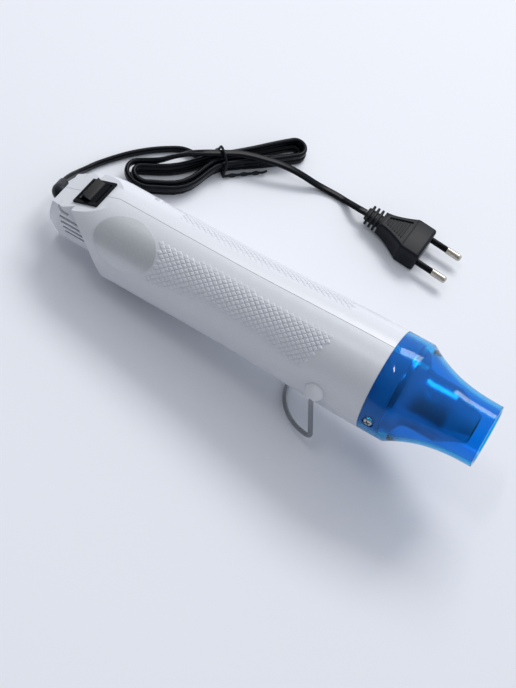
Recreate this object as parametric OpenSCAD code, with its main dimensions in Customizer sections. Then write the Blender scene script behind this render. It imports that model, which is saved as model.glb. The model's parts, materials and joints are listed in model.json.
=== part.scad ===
// Embossing heat tool: a small hand-held hot-air gun that rests on its own wire stand,
// with its flat mains cord tied into a hank beside it.
// The tool is drawn about its own axis, x forward, with x = 0 at the rear face of the
// nozzle collar, and rest_pose() sets it down on the table at Z = 0, nose up.

/* [Housing] */
// Length of the housing from the nozzle collar to the rear cap
housing_len = 186; // [176:1:206]
// Outer radius where the housing meets the collar
front_r = 26.3; // [25.5:0.1:29]
// Outer radius of the round handle
grip_r = 24; // [23.4:0.1:26]
// Length over which the front swells out to the collar
swell_len = 90; // [60:1:100]
// Thickness of the moulded walls
wall = 2.2; // [1.8:0.1:2.6]
// Radius of the narrower tail that carries the air slots
tail_r = 17.7; // [16.8:0.1:18.5]
// Radius of the flat rear cap
cap_r = 13.5; // [12.5:0.1:14.5]
// Height of the tail's centre above the handle's axis
tail_z = 2.5; // [2:0.1:3]
// Radius of the hollow that sets the tail in behind the handle
scoop_r = 31; // [29:0.5:33]
// Width of one air slot
slot_w = 1.2; // [1:0.1:1.4]
// Step from one air slot to the next
slot_pitch = 2.3; // [2.1:0.1:2.6]

/* [Switch] */
// Slope of the flat behind the handle that carries the switch
flat_slope = 22.7; // [20:0.1:25]
// Distance of the switch's centre from the rear cap
switch_back = 18; // [17:0.5:19]
// Height of the flat above the handle's axis at the switch's centre
flat_z = 18; // [17.6:0.1:18.6]
// Length of the switch bezel along the tool
bezel_l = 15; // [14.5:0.1:16]
// Width of the switch bezel across the tool
bezel_w = 18; // [17:0.1:19]
// Depth of the switch below its bezel
switch_depth = 12; // [11.5:0.1:12.5]
// Travel of the rocker in degrees
rocker_travel = 16; // [12:1:16]

/* [Nozzle] */
// Length of the nozzle shield from the collar's rear face to its mouth
shield_len = 56; // [54:0.5:64]
// Length of the shield's round collar
collar_l = 13.7; // [13:0.1:15]
// Outer radius of the shield at its mouth
mouth_r = 16.2; // [15.6:0.1:18]
// Wall thickness of the shield
shield_wall = 2; // [1.8:0.1:2.2]
// Radius of the straight part of the steel nozzle
steel_r = 14.5; // [14.3:0.1:15]
// Radius of the steel nozzle's outlet
outlet_r = 7.5; // [6:0.1:9]
// Distance of the steel outlet behind the shield's mouth
outlet_back = 7; // [5:0.5:10]
// Thickness of the steel sheet
steel_t = 0.8; // [0.6:0.1:0.9]

/* [Heater] */
// Outer radius of the mica sleeve
sleeve_r = 12.9; // [12.5:0.1:13.3]
// Length of the mica sleeve
sleeve_len = 64; // [56:1:66]
// Half width of the mica cross that carries the wire
cross_half = 7.6; // [7:0.1:8]
// Turns of heating wire
coil_turns = 11; // [6:1:12]
// Diameter of the wound heating wire
coil_wire = 2.2; // [1.6:0.1:2.4]

/* [Fan and motor] */
// Outer radius of the fan duct
duct_r = 19.3; // [18.8:0.1:19.6]
// Length of the fan duct
duct_len = 52; // [50:1:54]
// Radius of the motor can
motor_r = 13.85; // [13:0.05:14]
// Length of the motor can
motor_len = 30; // [26:1:32]
// Radius of the motor shaft
shaft_r = 1; // [1:0.1:1.2]
// Radius of the fan at its blade tips
fan_r = 17.2; // [16:0.1:17.4]
// Number of fan blades
fan_blades = 7; // [5:1:9]

/* [Stand] */
// Distance of the stand's pivot behind the collar
stand_back = 24; // [22:0.5:30]
// Diameter of the stand wire
stand_wire_d = 2.5; // [2:0.1:2.8]
// Length of the stand's legs
stand_leg = 31.5; // [29:0.5:36]
// Half of the distance between the stand's legs
stand_half = 28.6; // [28.6:0.1:31]
// Angle by which the open stand's legs lean forward
stand_lean = 9; // [6:1:14]
// Angle by which the stand's foot turns in at its corners
stand_toe = 10; // [6:1:14]

/* [Cord and plug] */
// Width of the flat cord
cord_w = 4.2; // [4:0.1:4.4]
// Thickness of the flat cord
cord_t = 2.5; // [2.3:0.1:2.6]
// Length of the plug's pins
pin_len = 19; // [18:0.5:20]
// Distance between the plug's pins
pin_gap = 18.6; // [18:0.1:19]
// Width of the plug at its pins
plug_w = 23.4; // [22.8:0.1:24.6]
// Thickness of the plug
plug_t = 13.7; // [13:0.1:14]

/* [Hidden] */
$fn = 96;

// Clearance between pieces that are pushed together
fit_gap = 0.1;
// Radial clearance of a turning shaft or pivot in its hole
run_gap = 0.06;
// Clearance between pieces that move past each other
move_gap = 0.4;

// Places along the tool's axis
rear_x = -housing_len;
dome_len = 28;
dome_reach = 34.5;
dome_x = rear_x + dome_len;
spigot_len = 10;
spigot_root = 3;
spigot_r = front_r - shield_wall - 0.15;
spigot_in_r = spigot_r - 1.9;
scoop_x = rear_x + 6.5;
scoop_z = -14;
tail_front_x = scoop_x + scoop_r + 4;
flat_x = rear_x + switch_back;
slot_rows = 5;
slot_low_z = tail_z + 0.1;

// Screws
screw_r = 1.2;
pilot_r = screw_r + 0.05;
head_r = 2.5;
head_h = 1.7;
boss_r = 4.2;
boss_z = grip_r - wall - boss_r;
boss_xs = [-46, rear_x + 46];
pocket_y = 7;
screw_len = 14;
shield_screw_x = 5;
shield_recess = 1.4;

// Heater
base_x = -6;
base_t = 2.6;
sleeve_x = -31;
sleeve_wall = 0.5;
sleeve_in_r = sleeve_r - sleeve_wall;
mica_t = 1;
ear_len = 5;
cross_x = sleeve_x - 3;
cross_len = sleeve_len - 1;
coil_r = cross_half + coil_wire / 2 + 0.25;
coil_x = cross_x + ear_len + coil_wire / 2 + 1.2;
coil_run = cross_len - 2 * ear_len - coil_wire - 2.4;
steel_flange_x = spigot_len + 0.1;
steel_len = shield_len - outlet_back - steel_flange_x;

// Fan and motor
duct_x = -118;
duct_wall = 1.3;
duct_seats = [duct_x + 5, duct_x + duct_len - 8];
seat_t = 1.6;
cup_x = duct_x + 17.5;
cup_t = 2;
cup_wall = 1.3;
motor_x = cup_x + cup_t + fit_gap;
motor_screw_y = 8;
can_t = 1;
cap_x = motor_x + motor_len + 0.02;
cap_hub = 4.6;
board_x = cap_x + cap_hub + 0.02;
board_t = 1.2;
fan_x = duct_x + 2;
fan_len = 11;
hub_r = 6;

// Stand
pivot_x = -stand_back;
pivot_z = -2;
wire_r = stand_wire_d / 2;
stand_bend = 3;
leg_y = max(stand_half, front_r + 2.3);
foot_y = leg_y - stand_bend * sin(stand_toe);
foot_r = foot_y / cos(stand_toe);
foot_x = foot_y * tan(stand_toe) - stand_bend * cos(stand_toe);
stand_depth = foot_r - foot_x;
pin_in = 4.2;
hood_r = 5.2;

// Cord boot
boot_neck_r = 3.4;
boot_r = 3.5;
boot_tip_r = 2.7;
boot_collar = 1.2;
boot_turn = 72;
boot_droop = 25;
boot_bend = 5.4;
boot_tip = 9;

// The tilt at which the tail's lower edge and the stand's wire both touch the table
rear_low_x = scoop_x + sqrt(pow(scoop_r, 2) - pow(grip_r + scoop_z, 2));
nose_x = pivot_x + stand_leg * sin(stand_lean) - stand_depth * cos(stand_lean);
nose_z = pivot_z - stand_leg * cos(stand_lean) - stand_depth * sin(stand_lean);
run_x = nose_x - rear_low_x;
drop_z = -grip_r - nose_z;
tilt = atan(drop_z / run_x) + asin(wire_r / norm([run_x, drop_z]));
axis_z = grip_r * cos(tilt) - rear_low_x * sin(tilt);

// The origin lies under the middle of the tool's length at rest
rear_end_x = rear_x * cos(tilt) - (flat_z - (flat_x - rear_x) * tan(flat_slope)) * sin(tilt);
front_end_x = shield_len * cos(tilt) + mouth_r * sin(tilt);
shift_x = -(rear_end_x + front_end_x) / 2;

// Point of the tool's own frame in the frame of the part
function placed(p) = [p[0] * cos(tilt) - p[2] * sin(tilt) + shift_x, p[1],
    p[0] * sin(tilt) + p[2] * cos(tilt) + axis_z];

module rest_pose() {
    translate([shift_x, 0, axis_z]) rotate([0, -tilt, 0]) children();
}

// Solid of revolution about the tool's axis, from [x, radius] points
module turned(points) {
    rotate([0, 90, 0]) rotate_extrude() polygon([for (p = points) [p[1], p[0]]]);
}

// Straight tube about the tool's axis
module ring(x, length, outer, inner) {
    turned([[x, inner], [x, outer], [x + length, outer], [x + length, inner]]);
}

// Rod along x, y or z from a point
module rod_x(p, length, r) {
    translate(p) rotate([0, 90, 0]) cylinder(h = length, r = r);
}
module rod_y(p, length, r) {
    translate(p) rotate([-90, 0, 0]) cylinder(h = length, r = r);
}

// Housing outline: a slight swell to the collar, a round handle and a domed shoulder
function swell(t) = t * t * (3 - 2 * t);
function handle_r(x) = grip_r + (front_r - grip_r) * swell(max(0, 1 + x / swell_len));
function dome_r(d) = grip_r * sqrt(1 - pow(d / dome_reach, 2));
swell_steps = 10;
dome_steps = 7;

module handle_form(inset) {
    turned(concat([[0, 0]],
        [for (i = [0:swell_steps]) let (x = -swell_len * i / swell_steps) [x, handle_r(x) - inset]],
        [for (i = [0:dome_steps]) let (d = dome_len * i / dome_steps)
            [dome_x - d * (dome_len - inset) / dome_len, dome_r(d) - inset]],
        [[rear_x + inset, 0]]));
}

module tail_form(inset) {
    translate([0, 0, tail_z])
        turned([[tail_front_x, 0], [tail_front_x, tail_r - inset], [rear_x + 8, tail_r - inset],
            [rear_x + inset, cap_r - inset * 0.9], [rear_x + inset, 0]]);
}

module scoop(inset) {
    translate([scoop_x, 0, scoop_z]) rotate([90, 0, 0])
        cylinder(h = 4 * grip_r, r = scoop_r + inset, center = true);
}

// Frame of the switch flat, x up the slope and z out of it
module on_flat() {
    translate([flat_x, 0, flat_z]) rotate([0, -flat_slope, 0]) children();
}

module body_form(inset) {
    difference() {
        union() {
            difference() {
                handle_form(inset);
                scoop(inset);
            }
            tail_form(inset);
        }
        on_flat() translate([-60, -40, -inset]) cube([120, 80, 60]);
    }
}

module duct_seat(x) {
    difference() {
        ring(x, seat_t, front_r - 1, duct_r + fit_gap);
        translate([x - 1, -4, -front_r]) cube([seat_t + 2, 8, front_r - duct_r + 6]);
    }
}

module boss(x, z, r, from_y, length) {
    rod_y([x, from_y, z], length, r);
}

// Hood over one end of the stand's wire, on the side that sign gives
module stand_hood(sign) {
    difference() {
        translate([pivot_x, sign * (front_r - 0.4), pivot_z + 2]) sphere(r = hood_r, $fn = 48);
        translate([pivot_x - 20, -50, pivot_z - 20 + wire_r + move_gap]) cube([40, 100, 20]);
        rod_y([pivot_x, -50, pivot_z], 100, wire_r + 1.3);
    }
}

module air_slots(sign) {
    for (row = [0:slot_rows - 1]) {
        z = slot_low_z + slot_pitch * row;
        edge_x = scoop_x + sqrt(pow(scoop_r, 2) - pow(z - scoop_z, 2));
        left_x = rear_x + 12.5 - 1.5 * row;
        y0 = sign > 0 ? tail_r - 7 : -tail_r - 3;
        translate([left_x, y0, z - slot_w / 2])
            cube([row == slot_rows - 1 ? 6 : edge_x - left_x - 0.8, 10, slot_w]);
    }
    z = slot_low_z + slot_pitch * (slot_rows - 1) + 0.2;
    translate([rear_x + 5, sign > 0 ? tail_r - 9 : -tail_r - 1, z - slot_w / 2]) cube([4, 10, slot_w]);
}

// Everything that both housing halves share
module housing_body() {
    difference() {
        union() {
            difference() {
                union() {
                    body_form(0);
                    ring(-spigot_root, spigot_len + spigot_root, spigot_r, spigot_in_r);
                    ring(-spigot_root, spigot_root, front_r - 1, spigot_in_r);
                }
                difference() {
                    body_form(wall);
                    translate([-spigot_root, -60, -60]) cube([60, 120, 120]);
                }
                rod_x([-spigot_root - 0.01, 0, 0], spigot_root + spigot_len + 1, spigot_in_r);
            }
            intersection() {
                union() {
                    for (x = duct_seats) duct_seat(x);
                    ring(base_x - 1.6, 1.5, front_r - 1, spigot_in_r - 1);
                }
                body_form(0.5);
            }
            for (sign = [-1, 1]) stand_hood(sign);
            intersection() {
                for (sign = [-1, 1]) {
                    rod_y([shield_screw_x, sign > 0 ? spigot_r - 5 : -spigot_r, 0], 5, 2.8);
                }
                rod_x([0, 0, 0], spigot_len, spigot_r);
            }
            intersection() {
                rod_y([pivot_x, -front_r, pivot_z], front_r - spigot_in_r + 3, wire_r + 2);
                body_form(0.5);
            }
            intersection() {
                rod_y([pivot_x, spigot_in_r - 3, pivot_z], front_r - spigot_in_r + 3, wire_r + 2);
                body_form(0.5);
            }
        }
        rod_x([rear_x - 1, 0, tail_z], wall + 3, boot_neck_r + fit_gap);
        on_flat() translate([-bezel_l / 2 + 1 - fit_gap, -bezel_w / 2 + 1 - fit_gap, -20])
            cube([bezel_l - 2 + 2 * fit_gap, bezel_w - 2 + 2 * fit_gap, 40]);
        rod_y([pivot_x, -front_r - 3, pivot_z], pin_in + 3 + 0.4, wire_r + run_gap);
        rod_y([pivot_x, front_r - pin_in - 0.4, pivot_z], pin_in + 3 + 0.4, wire_r + run_gap);
        rod_y([shield_screw_x, -spigot_r - 1, 0], 7, pilot_r);
        rod_y([shield_screw_x, spigot_r - 6, 0], 7, pilot_r);
        for (sign = [-1, 1]) air_slots(sign);
    }
}

module right_side() {
    translate([-300, -100, -100]) cube([400, 100, 200]);
}

module housing_right() {
    color("white") rest_pose() difference() {
        intersection() {
            union() {
                housing_body();
                intersection() {
                    union() {
                        for (x = boss_xs, side = [-1, 1])
                            boss(x, side * boss_z, boss_r, -20, 20);
                        translate([rear_x + 5.6, -14, tail_z - 8]) cube([5, 14 - cord_t / 2 - 0.05, 16]);
                    }
                    body_form(0.5);
                }
            }
            right_side();
        }
        for (x = boss_xs, side = [-1, 1]) boss(x, side * boss_z, pilot_r, -9, 10);
        for (side = [-1, 1])
            rod_y([rear_x + 8.1, -9, tail_z + side * 5.2], 10, pilot_r);
    }
}

module housing_left() {
    color("white") rest_pose() difference() {
        intersection() {
            union() {
                housing_body();
                intersection() {
                    for (x = boss_xs, side = [-1, 1]) boss(x, side * boss_z, boss_r, 0, 20);
                    body_form(0.5);
                }
            }
            mirror([0, 1, 0]) right_side();
        }
        for (x = boss_xs, side = [-1, 1]) {
            boss(x, side * boss_z, screw_r + 0.3, -1, 20);
            boss(x, side * boss_z, head_r + 0.3, pocket_y, 20);
        }
    }
}

module pan_screw(length) {
    cylinder(h = length, r = screw_r);
    translate([0, 0, length]) difference() {
        cylinder(h = head_h, r = head_r);
        for (turn = [0, 90]) rotate([0, 0, turn]) translate([-1.5, -0.3, head_h - 0.9]) cube([3, 0.6, 2]);
    }
}

module housing_screws() {
    color("silver") rest_pose() for (x = boss_xs, side = [-1, 1])
        translate([x, pocket_y - screw_len, side * boss_z]) rotate([-90, 0, 0]) pan_screw(screw_len);
}

// Nozzle shield: a round collar, then a hollow taper to the mouth
taper_power = 2.6;
function shield_r(x) = mouth_r + (front_r - mouth_r)
    * pow(1 - (x - collar_l) / (shield_len - collar_l), taper_power);
shield_steps = 12;
shield_xs = [for (i = [0:shield_steps]) collar_l + (shield_len - collar_l) * i / shield_steps];

module nozzle_shield() {
    color("royalblue", 0.6) rest_pose() difference() {
        turned(concat([[0, front_r - shield_wall], [0, front_r]],
            [for (x = shield_xs) [x, shield_r(x)]],
            [for (i = [shield_steps:-1:1]) [shield_xs[i], shield_r(shield_xs[i]) - shield_wall]],
            [[spigot_len + 1.2, front_r - shield_wall - 1.6], [spigot_len + 1.2, front_r - shield_wall]]));
        for (sign = [-1, 1]) {
            rod_y([shield_screw_x, sign > 0 ? spigot_r - 2 : -spigot_r - 8, 0], 10, screw_r + 0.2);
            rod_y([shield_screw_x, sign > 0 ? front_r - shield_recess : -front_r - 10 + shield_recess, 0], 10,
                head_r + 0.5);
        }
    }
}

module shield_screws() {
    color("silver") rest_pose() for (sign = [-1, 1])
        translate([shield_screw_x, sign * (front_r - shield_recess - 6), 0]) rotate([-90 * sign, 0, 0])
            pan_screw(6);
}

module steel_nozzle() {
    // Outer outline of the sheet, [distance from the flange, radius]
    skirt_r = spigot_in_r - 1.5;
    outline = [[0, spigot_r - 0.2], [steel_t, spigot_r - 0.2], [steel_t, skirt_r], [2.4, skirt_r],
        [4, steel_r + 4.2], [6, steel_r + 2], [9, steel_r + 0.5], [12, steel_r],
        [steel_len - 14, steel_r], [steel_len - 6, outlet_r + 2.6], [steel_len, outlet_r]];
    inner = [[steel_len, outlet_r - steel_t], [steel_len - 6.4, outlet_r + 2.6 - steel_t],
        [steel_len - 14.4, steel_r - steel_t], [11.6, steel_r - steel_t], [8.6, steel_r + 0.5 - steel_t],
        [5.4, steel_r + 2 - steel_t], [3.2, steel_r + 4.2 - steel_t], [1.6, skirt_r - steel_t],
        [0, skirt_r - steel_t]];
    color("lightgray") rest_pose()
        turned([for (p = concat(outline, inner)) [steel_flange_x + p[0], p[1]]]);
}

module heater_base() {
    color("wheat") rest_pose() difference() {
        ring(base_x, base_t, front_r - wall - 0.3, sleeve_r + fit_gap);
        for (turn = [45:90:315]) rotate([turn, 0, 0]) rod_x([base_x - 1, 0, 18.5], base_t + 2, 2.6);
    }
}

module mica_sleeve() {
    color("tan") rest_pose() ring(sleeve_x, sleeve_len, sleeve_r, sleeve_in_r);
}

// One plate of the mica cross, its slot open at the end that slot_front names
module mica_plate(slot_front) {
    half_gap = mica_t / 2 + 0.05;
    difference() {
        union() {
            translate([cross_x, -mica_t / 2, -cross_half]) cube([cross_len, mica_t, 2 * cross_half]);
            for (x = [cross_x, cross_x + cross_len - ear_len])
                translate([x, -mica_t / 2, -sleeve_in_r + 0.3])
                    cube([ear_len, mica_t, 2 * sleeve_in_r - 0.6]);
        }
        translate([slot_front ? cross_x + cross_len / 2 : cross_x - 1, -1, -half_gap])
            cube([cross_len / 2 + 1, 2, 2 * half_gap]);
    }
}

module mica_plate_upright() {
    color("tan") rest_pose() mica_plate(true);
}

module mica_plate_flat() {
    color("tan") rest_pose() rotate([90, 0, 0]) mica_plate(false);
}

module thermal_cutout() {
    color("gainsboro") rest_pose()
        translate([cross_x + 1, -mica_t / 2 - 4.52, -mica_t / 2 - 3.02]) cube([9, 4.5, 3]);
}

// Points of a tube with a hexagonal or eight-sided section swept along a path.
// Each path entry is [x, y, z, roll], and roll turns the flat section about the path.
function unit(v) = v / norm(v);
function xyz(p) = [p[0], p[1], p[2]];
function path_dir(path, i) = unit(xyz(path[min(i + 1, len(path) - 1)]) - xyz(path[max(i - 1, 0)]));
function ring_points(path, i, section, up) =
    let (t = path_dir(path, i), side = unit(cross(up, t)), top = cross(t, side), a = path[i][3])
    [for (s = section) xyz(path[i]) + side * (s[0] * cos(a) - s[1] * sin(a))
        + top * (s[0] * sin(a) + s[1] * cos(a))];

module swept(path, section, up) {
    n = len(section);
    last = len(path) - 1;
    points = [for (i = [0:last]) each ring_points(path, i, section, up)];
    walls = [for (i = [0:last - 1], k = [0:n - 1]) let (a = i * n + k, b = i * n + (k + 1) % n)
        each [[a, b + n, b], [a, a + n, b + n]]];
    start = [for (k = [1:n - 2]) [0, k, k + 1]];
    end = [for (k = [1:n - 2]) [last * n, last * n + k + 1, last * n + k]];
    polyhedron(points = points, faces = concat(walls, start, end), convexity = 10);
}

function disc_section(r, n) = [for (k = [0:n - 1]) r * [cos(360 * k / n), sin(360 * k / n)]];

// Heating wire wound round the mica cross, its ends turned straight along the tool
coil_rings = 24;
coil_bend = 2.4;
coil_end = 2.6;
coil_end_x = coil_x + coil_run;
coil_path = concat(
    [[coil_x - coil_bend - coil_end, -coil_bend, coil_r, 0]],
    [for (a = [0:30:60]) [coil_x - coil_bend * (1 - sin(a)), -coil_bend * cos(a), coil_r, 0]],
    [for (i = [0:coil_turns * coil_rings]) let (a = 360 * i / coil_rings)
        [coil_x + coil_run * i / (coil_turns * coil_rings), coil_r * sin(a), coil_r * cos(a), 0]],
    [for (a = [30:30:90]) [coil_end_x + coil_bend * (1 - cos(a)), coil_bend * sin(a), coil_r, 0]],
    [[coil_end_x + coil_bend + coil_end, coil_bend, coil_r, 0]]);

module heater_coil() {
    color("dimgray") rest_pose() swept(coil_path, disc_section(coil_wire / 2, 6), [1, 0.2, 0.1]);
}

// Clamps on the cross for both ends of the coil, and the rod that brings the front end back
return_y = 2.6;
return_z = 4.2;
clamp_r = coil_wire / 2 + 0.3;
lug_y = mica_t / 2 + 0.03;
module heater_terminals() {
    rear_end = coil_x - coil_bend - coil_end;
    front_end = coil_end_x + coil_bend + coil_end;
    color("silver") rest_pose() {
        rod_x([rear_end - 3.3, -coil_bend, coil_r], 3.25, clamp_r);
        translate([rear_end - 2.2, -coil_bend, coil_r - 0.5]) cube([2, coil_bend - lug_y, 1]);
        rod_x([front_end + 0.05, coil_bend, coil_r], 2.2, clamp_r);
        translate([front_end + 0.05, lug_y, return_z - 1])
            cube([2.2, return_y - lug_y + 1, coil_r - return_z + 1]);
        rod_x([cross_x - 1.5, return_y, return_z], front_end - cross_x + 2, wire_out_r);
    }
}

module fan_duct() {
    cup_out = motor_r + 0.05 + cup_wall;
    color("ivory") rest_pose() {
        difference() {
            union() {
                ring(duct_x, duct_len, duct_r, duct_r - duct_wall);
                ring(cup_x, 26, cup_out, motor_r + 0.05);
                ring(cup_x, cup_t, cup_out, 3.4);
                for (k = [0:7]) rotate([45 * k, 0, 0])
                    translate([cup_x + 2, -0.6, cup_out - 0.4])
                        cube([20, 1.2, duct_r - duct_wall - cup_out + 0.8]);
            }
            for (side = [-1, 1]) rod_x([cup_x - 1, side * motor_screw_y, 0], cup_t + 2, screw_r + 0.15);
        }
    }
}

module fan_blade(k) {
    rotate([360 * k / fan_blades, 0, 0]) translate([fan_x + fan_len / 2, 0, hub_r - 0.3])
        rotate([0, 0, 38]) translate([-5, -0.55, 0]) cube([10, 1.1, fan_r - hub_r - 0.5]);
}

module fan_impeller() {
    color("ivory") rest_pose() difference() {
        union() {
            ring(fan_x, fan_len, hub_r, shaft_r + 0.02);
            intersection() {
                for (k = [0:fan_blades - 1]) fan_blade(k);
                ring(fan_x, fan_len, fan_r, hub_r - 0.5);
            }
        }
        ring(fan_x + fan_len - 2.5, 3, hub_r - 1.4, 0.2);
    }
}

module motor_shaft() {
    shaft_x = fan_x + 1;
    color("silver") rest_pose() rod_x([shaft_x, 0, 0], motor_x + motor_len + 3 - shaft_x, shaft_r);
}

module motor_core() {
    core_r = motor_r - 4.6;
    color("peru") rest_pose() difference() {
        rod_x([motor_x + 7, 0, 0], motor_len - 13, core_r);
        rod_x([motor_x, 0, 0], motor_len + 2, shaft_r + 0.01);
        for (k = [0:4]) rotate([72 * k, 0, 0])
            translate([motor_x + 6, -0.8, core_r - 2.6]) cube([motor_len, 1.6, 5]);
    }
}

module motor_can() {
    color("silver") rest_pose() difference() {
        union() {
            rod_x([motor_x, 0, 0], motor_len, motor_r);
            rod_x([motor_x - 1.7, 0, 0], 2, 3.2);
        }
        rod_x([motor_x + can_t, 0, 0], motor_len, motor_r - can_t);
        rod_x([motor_x - 2, 0, 0], 5, 2.5);
        for (side = [-1, 1]) rod_x([motor_x - 1, side * motor_screw_y, 0], 3, pilot_r);
    }
}

module motor_magnets() {
    color("dimgray") rest_pose() difference() {
        ring(motor_x + 6, motor_len - 11, motor_r - can_t - 0.03, motor_r - can_t - 2.8);
        for (side = [-1, 1]) translate([motor_x, -5, side > 0 ? 4 : -24]) cube([motor_len, 10, 20]);
    }
}

module motor_end_cap() {
    color("black") rest_pose() difference() {
        union() {
            rod_x([cap_x, 0, 0], 2.4, motor_r);
            rod_x([cap_x - 2, 0, 0], 2.1, motor_r - can_t - 0.05);
            rod_x([cap_x, 0, 0], cap_hub, 4);
        }
        rod_x([cap_x - 3, 0, 0], 6.4, 2.55);
    }
}

module motor_bearings() {
    color("darkgoldenrod") rest_pose() {
        ring(motor_x - 1.6, 3.4, 2.45, shaft_r + run_gap);
        ring(motor_x + motor_len - 0.6, 3.2, 2.45, shaft_r + run_gap);
    }
}

module motor_screws() {
    color("silver") rest_pose() for (side = [-1, 1])
        translate([cup_x, side * motor_screw_y, 0]) {
            rod_x([-0.02, 0, 0], cup_t + 1.8, screw_r);
            rod_x([-1.62, 0, 0], 1.6, 2);
        }
}

module rectifier_board() {
    color("darkgreen") rest_pose() difference() {
        rod_x([board_x, 0, 0], board_t, motor_r - 1.5);
        for (side = [-1, 1]) rod_x([board_x - 1, 0, side * 9], 4, 1);
    }
}

module rectifier_diodes() {
    color("black") rest_pose() for (k = [0:3])
        rod_x([board_x + board_t + 0.02, -6 + 4 * k, 0], 5.2, 1.3);
}

module switch_body() {
    body_l = bezel_l - 2;
    body_w = bezel_w - 2;
    color("black") rest_pose() on_flat() difference() {
        union() {
            translate([-bezel_l / 2, -bezel_w / 2, 0.02]) cube([bezel_l, bezel_w, 1.2]);
            translate([-body_l / 2, -body_w / 2, -switch_depth]) cube([body_l, body_w, switch_depth + 0.1]);
        }
        translate([-rocker_half - 1.1, -rocker_w / 2 - 0.2, -rocker_floor])
            cube([2 * rocker_half + 2.2, rocker_w + 0.4, 20]);
        rod_y([0, -body_w / 2 + 0.3, rocker_z], body_w - 0.6, 1 + run_gap);
    }
}

// Rocker with a ridge across it: a short rear face and a hollow front face
rocker_half = 5.2;
rocker_w = bezel_w - 4.4;
rocker_z = -1.5;
rocker_floor = 3 + rocker_half * sin(rocker_travel) + 1.5;
rocker_front = [for (i = [1:5]) let (t = i / 5)
    [-1.4 + (rocker_half + 1.4) * t, 4.8 - 3.9 * (1 - pow(1 - t, 2.2))]];

module switch_rocker() {
    color("black") rest_pose() on_flat() {
        rotate([90, 0, 0]) translate([0, 0, -rocker_w / 2]) linear_extrude(height = rocker_w)
            polygon(concat([[-rocker_half, -3], [-rocker_half, 1.5], [-3.4, 2], [-1.4, 4.8]],
                rocker_front, [[rocker_half, -3]]));
        rod_y([0, -bezel_w / 2 + 1.6, rocker_z], bezel_w - 3.2, 1);
    }
}

module switch_terminals() {
    color("goldenrod") rest_pose() on_flat() for (x = [-3.5, 3.5])
        translate([x - 0.4, -2.4, -switch_depth - 6.02]) cube([0.8, 4.8, 6]);
}

module rating_label() {
    label_x = rear_x + 47.2;
    color("silver") rest_pose() intersection() {
        ring(label_x - 20, 40, grip_r + 0.3, grip_r + 0.05);
        rotate([47, 0, 0]) translate([label_x, 0, 0]) linear_extrude(height = 40)
            polygon([for (k = [0:63]) [17 * cos(5.625 * k), 13.4 * sin(5.625 * k)]]);
    }
}

// Cord boot: a flange inside the rear cap and a moulded neck that bends towards the hank
boot_aside = boot_bend * (1 - cos(boot_turn)) + boot_tip * sin(boot_turn);
boot_end = [rear_x - boot_collar - boot_bend * sin(boot_turn) - boot_tip * cos(boot_turn),
    boot_aside * cos(boot_droop), tail_z - boot_aside * sin(boot_droop)];
boot_dir = [-cos(boot_turn), sin(boot_turn) * cos(boot_droop), -sin(boot_turn) * sin(boot_droop)];

module cord_boot() {
    color("black") rest_pose() translate([0, 0, tail_z]) {
        rod_x([rear_x + wall + 0.05, 0, 0], 1.8, boot_neck_r + 2);
        rod_x([rear_x - 0.2, 0, 0], wall + 0.4, boot_neck_r);
        rod_x([rear_x - boot_collar - 0.3, 0, 0], boot_collar + 0.25, boot_r + 0.8);
        rotate([-boot_droop, 0, 0]) {
            translate([rear_x - boot_collar, boot_bend, 0]) rotate([0, 0, -90 - boot_turn])
                rotate_extrude(angle = boot_turn) translate([boot_bend, 0])
                    circle(r = boot_r - 0.03, $fn = 48);
            translate([boot_end[0], boot_aside, 0]) rotate([0, 0, -boot_turn]) rotate([0, 90, 0])
                cylinder(h = boot_tip + 0.02, r1 = boot_tip_r, r2 = boot_r);
        }
    }
}

function flat_section(n) = n == 6
    ? [[cord_t / 2, 0], [cord_t / 3, cord_w / 2], [-cord_t / 3, cord_w / 2],
        [-cord_t / 2, 0], [-cord_t / 3, -cord_w / 2], [cord_t / 3, -cord_w / 2]]
    : [for (q = [[0.5, -0.3], [0.5, 0.3], [0.25, 0.5], [-0.25, 0.5], [-0.5, 0.3], [-0.5, -0.3],
        [-0.25, -0.5], [0.25, -0.5]]) [q[0] * cord_t, q[1] * cord_w]];

// The cord's end inside the housing, from the boot to the clamp
module cord_inner_end() {
    inner_x = rear_x + wall + 1.9;
    color("black") rest_pose() translate([inner_x, -cord_t / 2, tail_z - cord_w / 2])
        cube([9, cord_t, cord_w]);
}

module cord_clamp() {
    color("white") rest_pose() difference() {
        translate([rear_x + 5.6, cord_t / 2 + 0.05, tail_z - 8]) cube([5, 2.2, 16]);
        for (side = [-1, 1]) rod_y([rear_x + 8.1, 0, tail_z + side * 5.2], 10, screw_r + 0.2);
    }
}

module clamp_screws() {
    color("silver") rest_pose() for (side = [-1, 1])
        translate([rear_x + 8.1, cord_t / 2 + 2.3 - 9, tail_z + side * 5.2]) rotate([-90, 0, 0])
            pan_screw(9);
}

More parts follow.
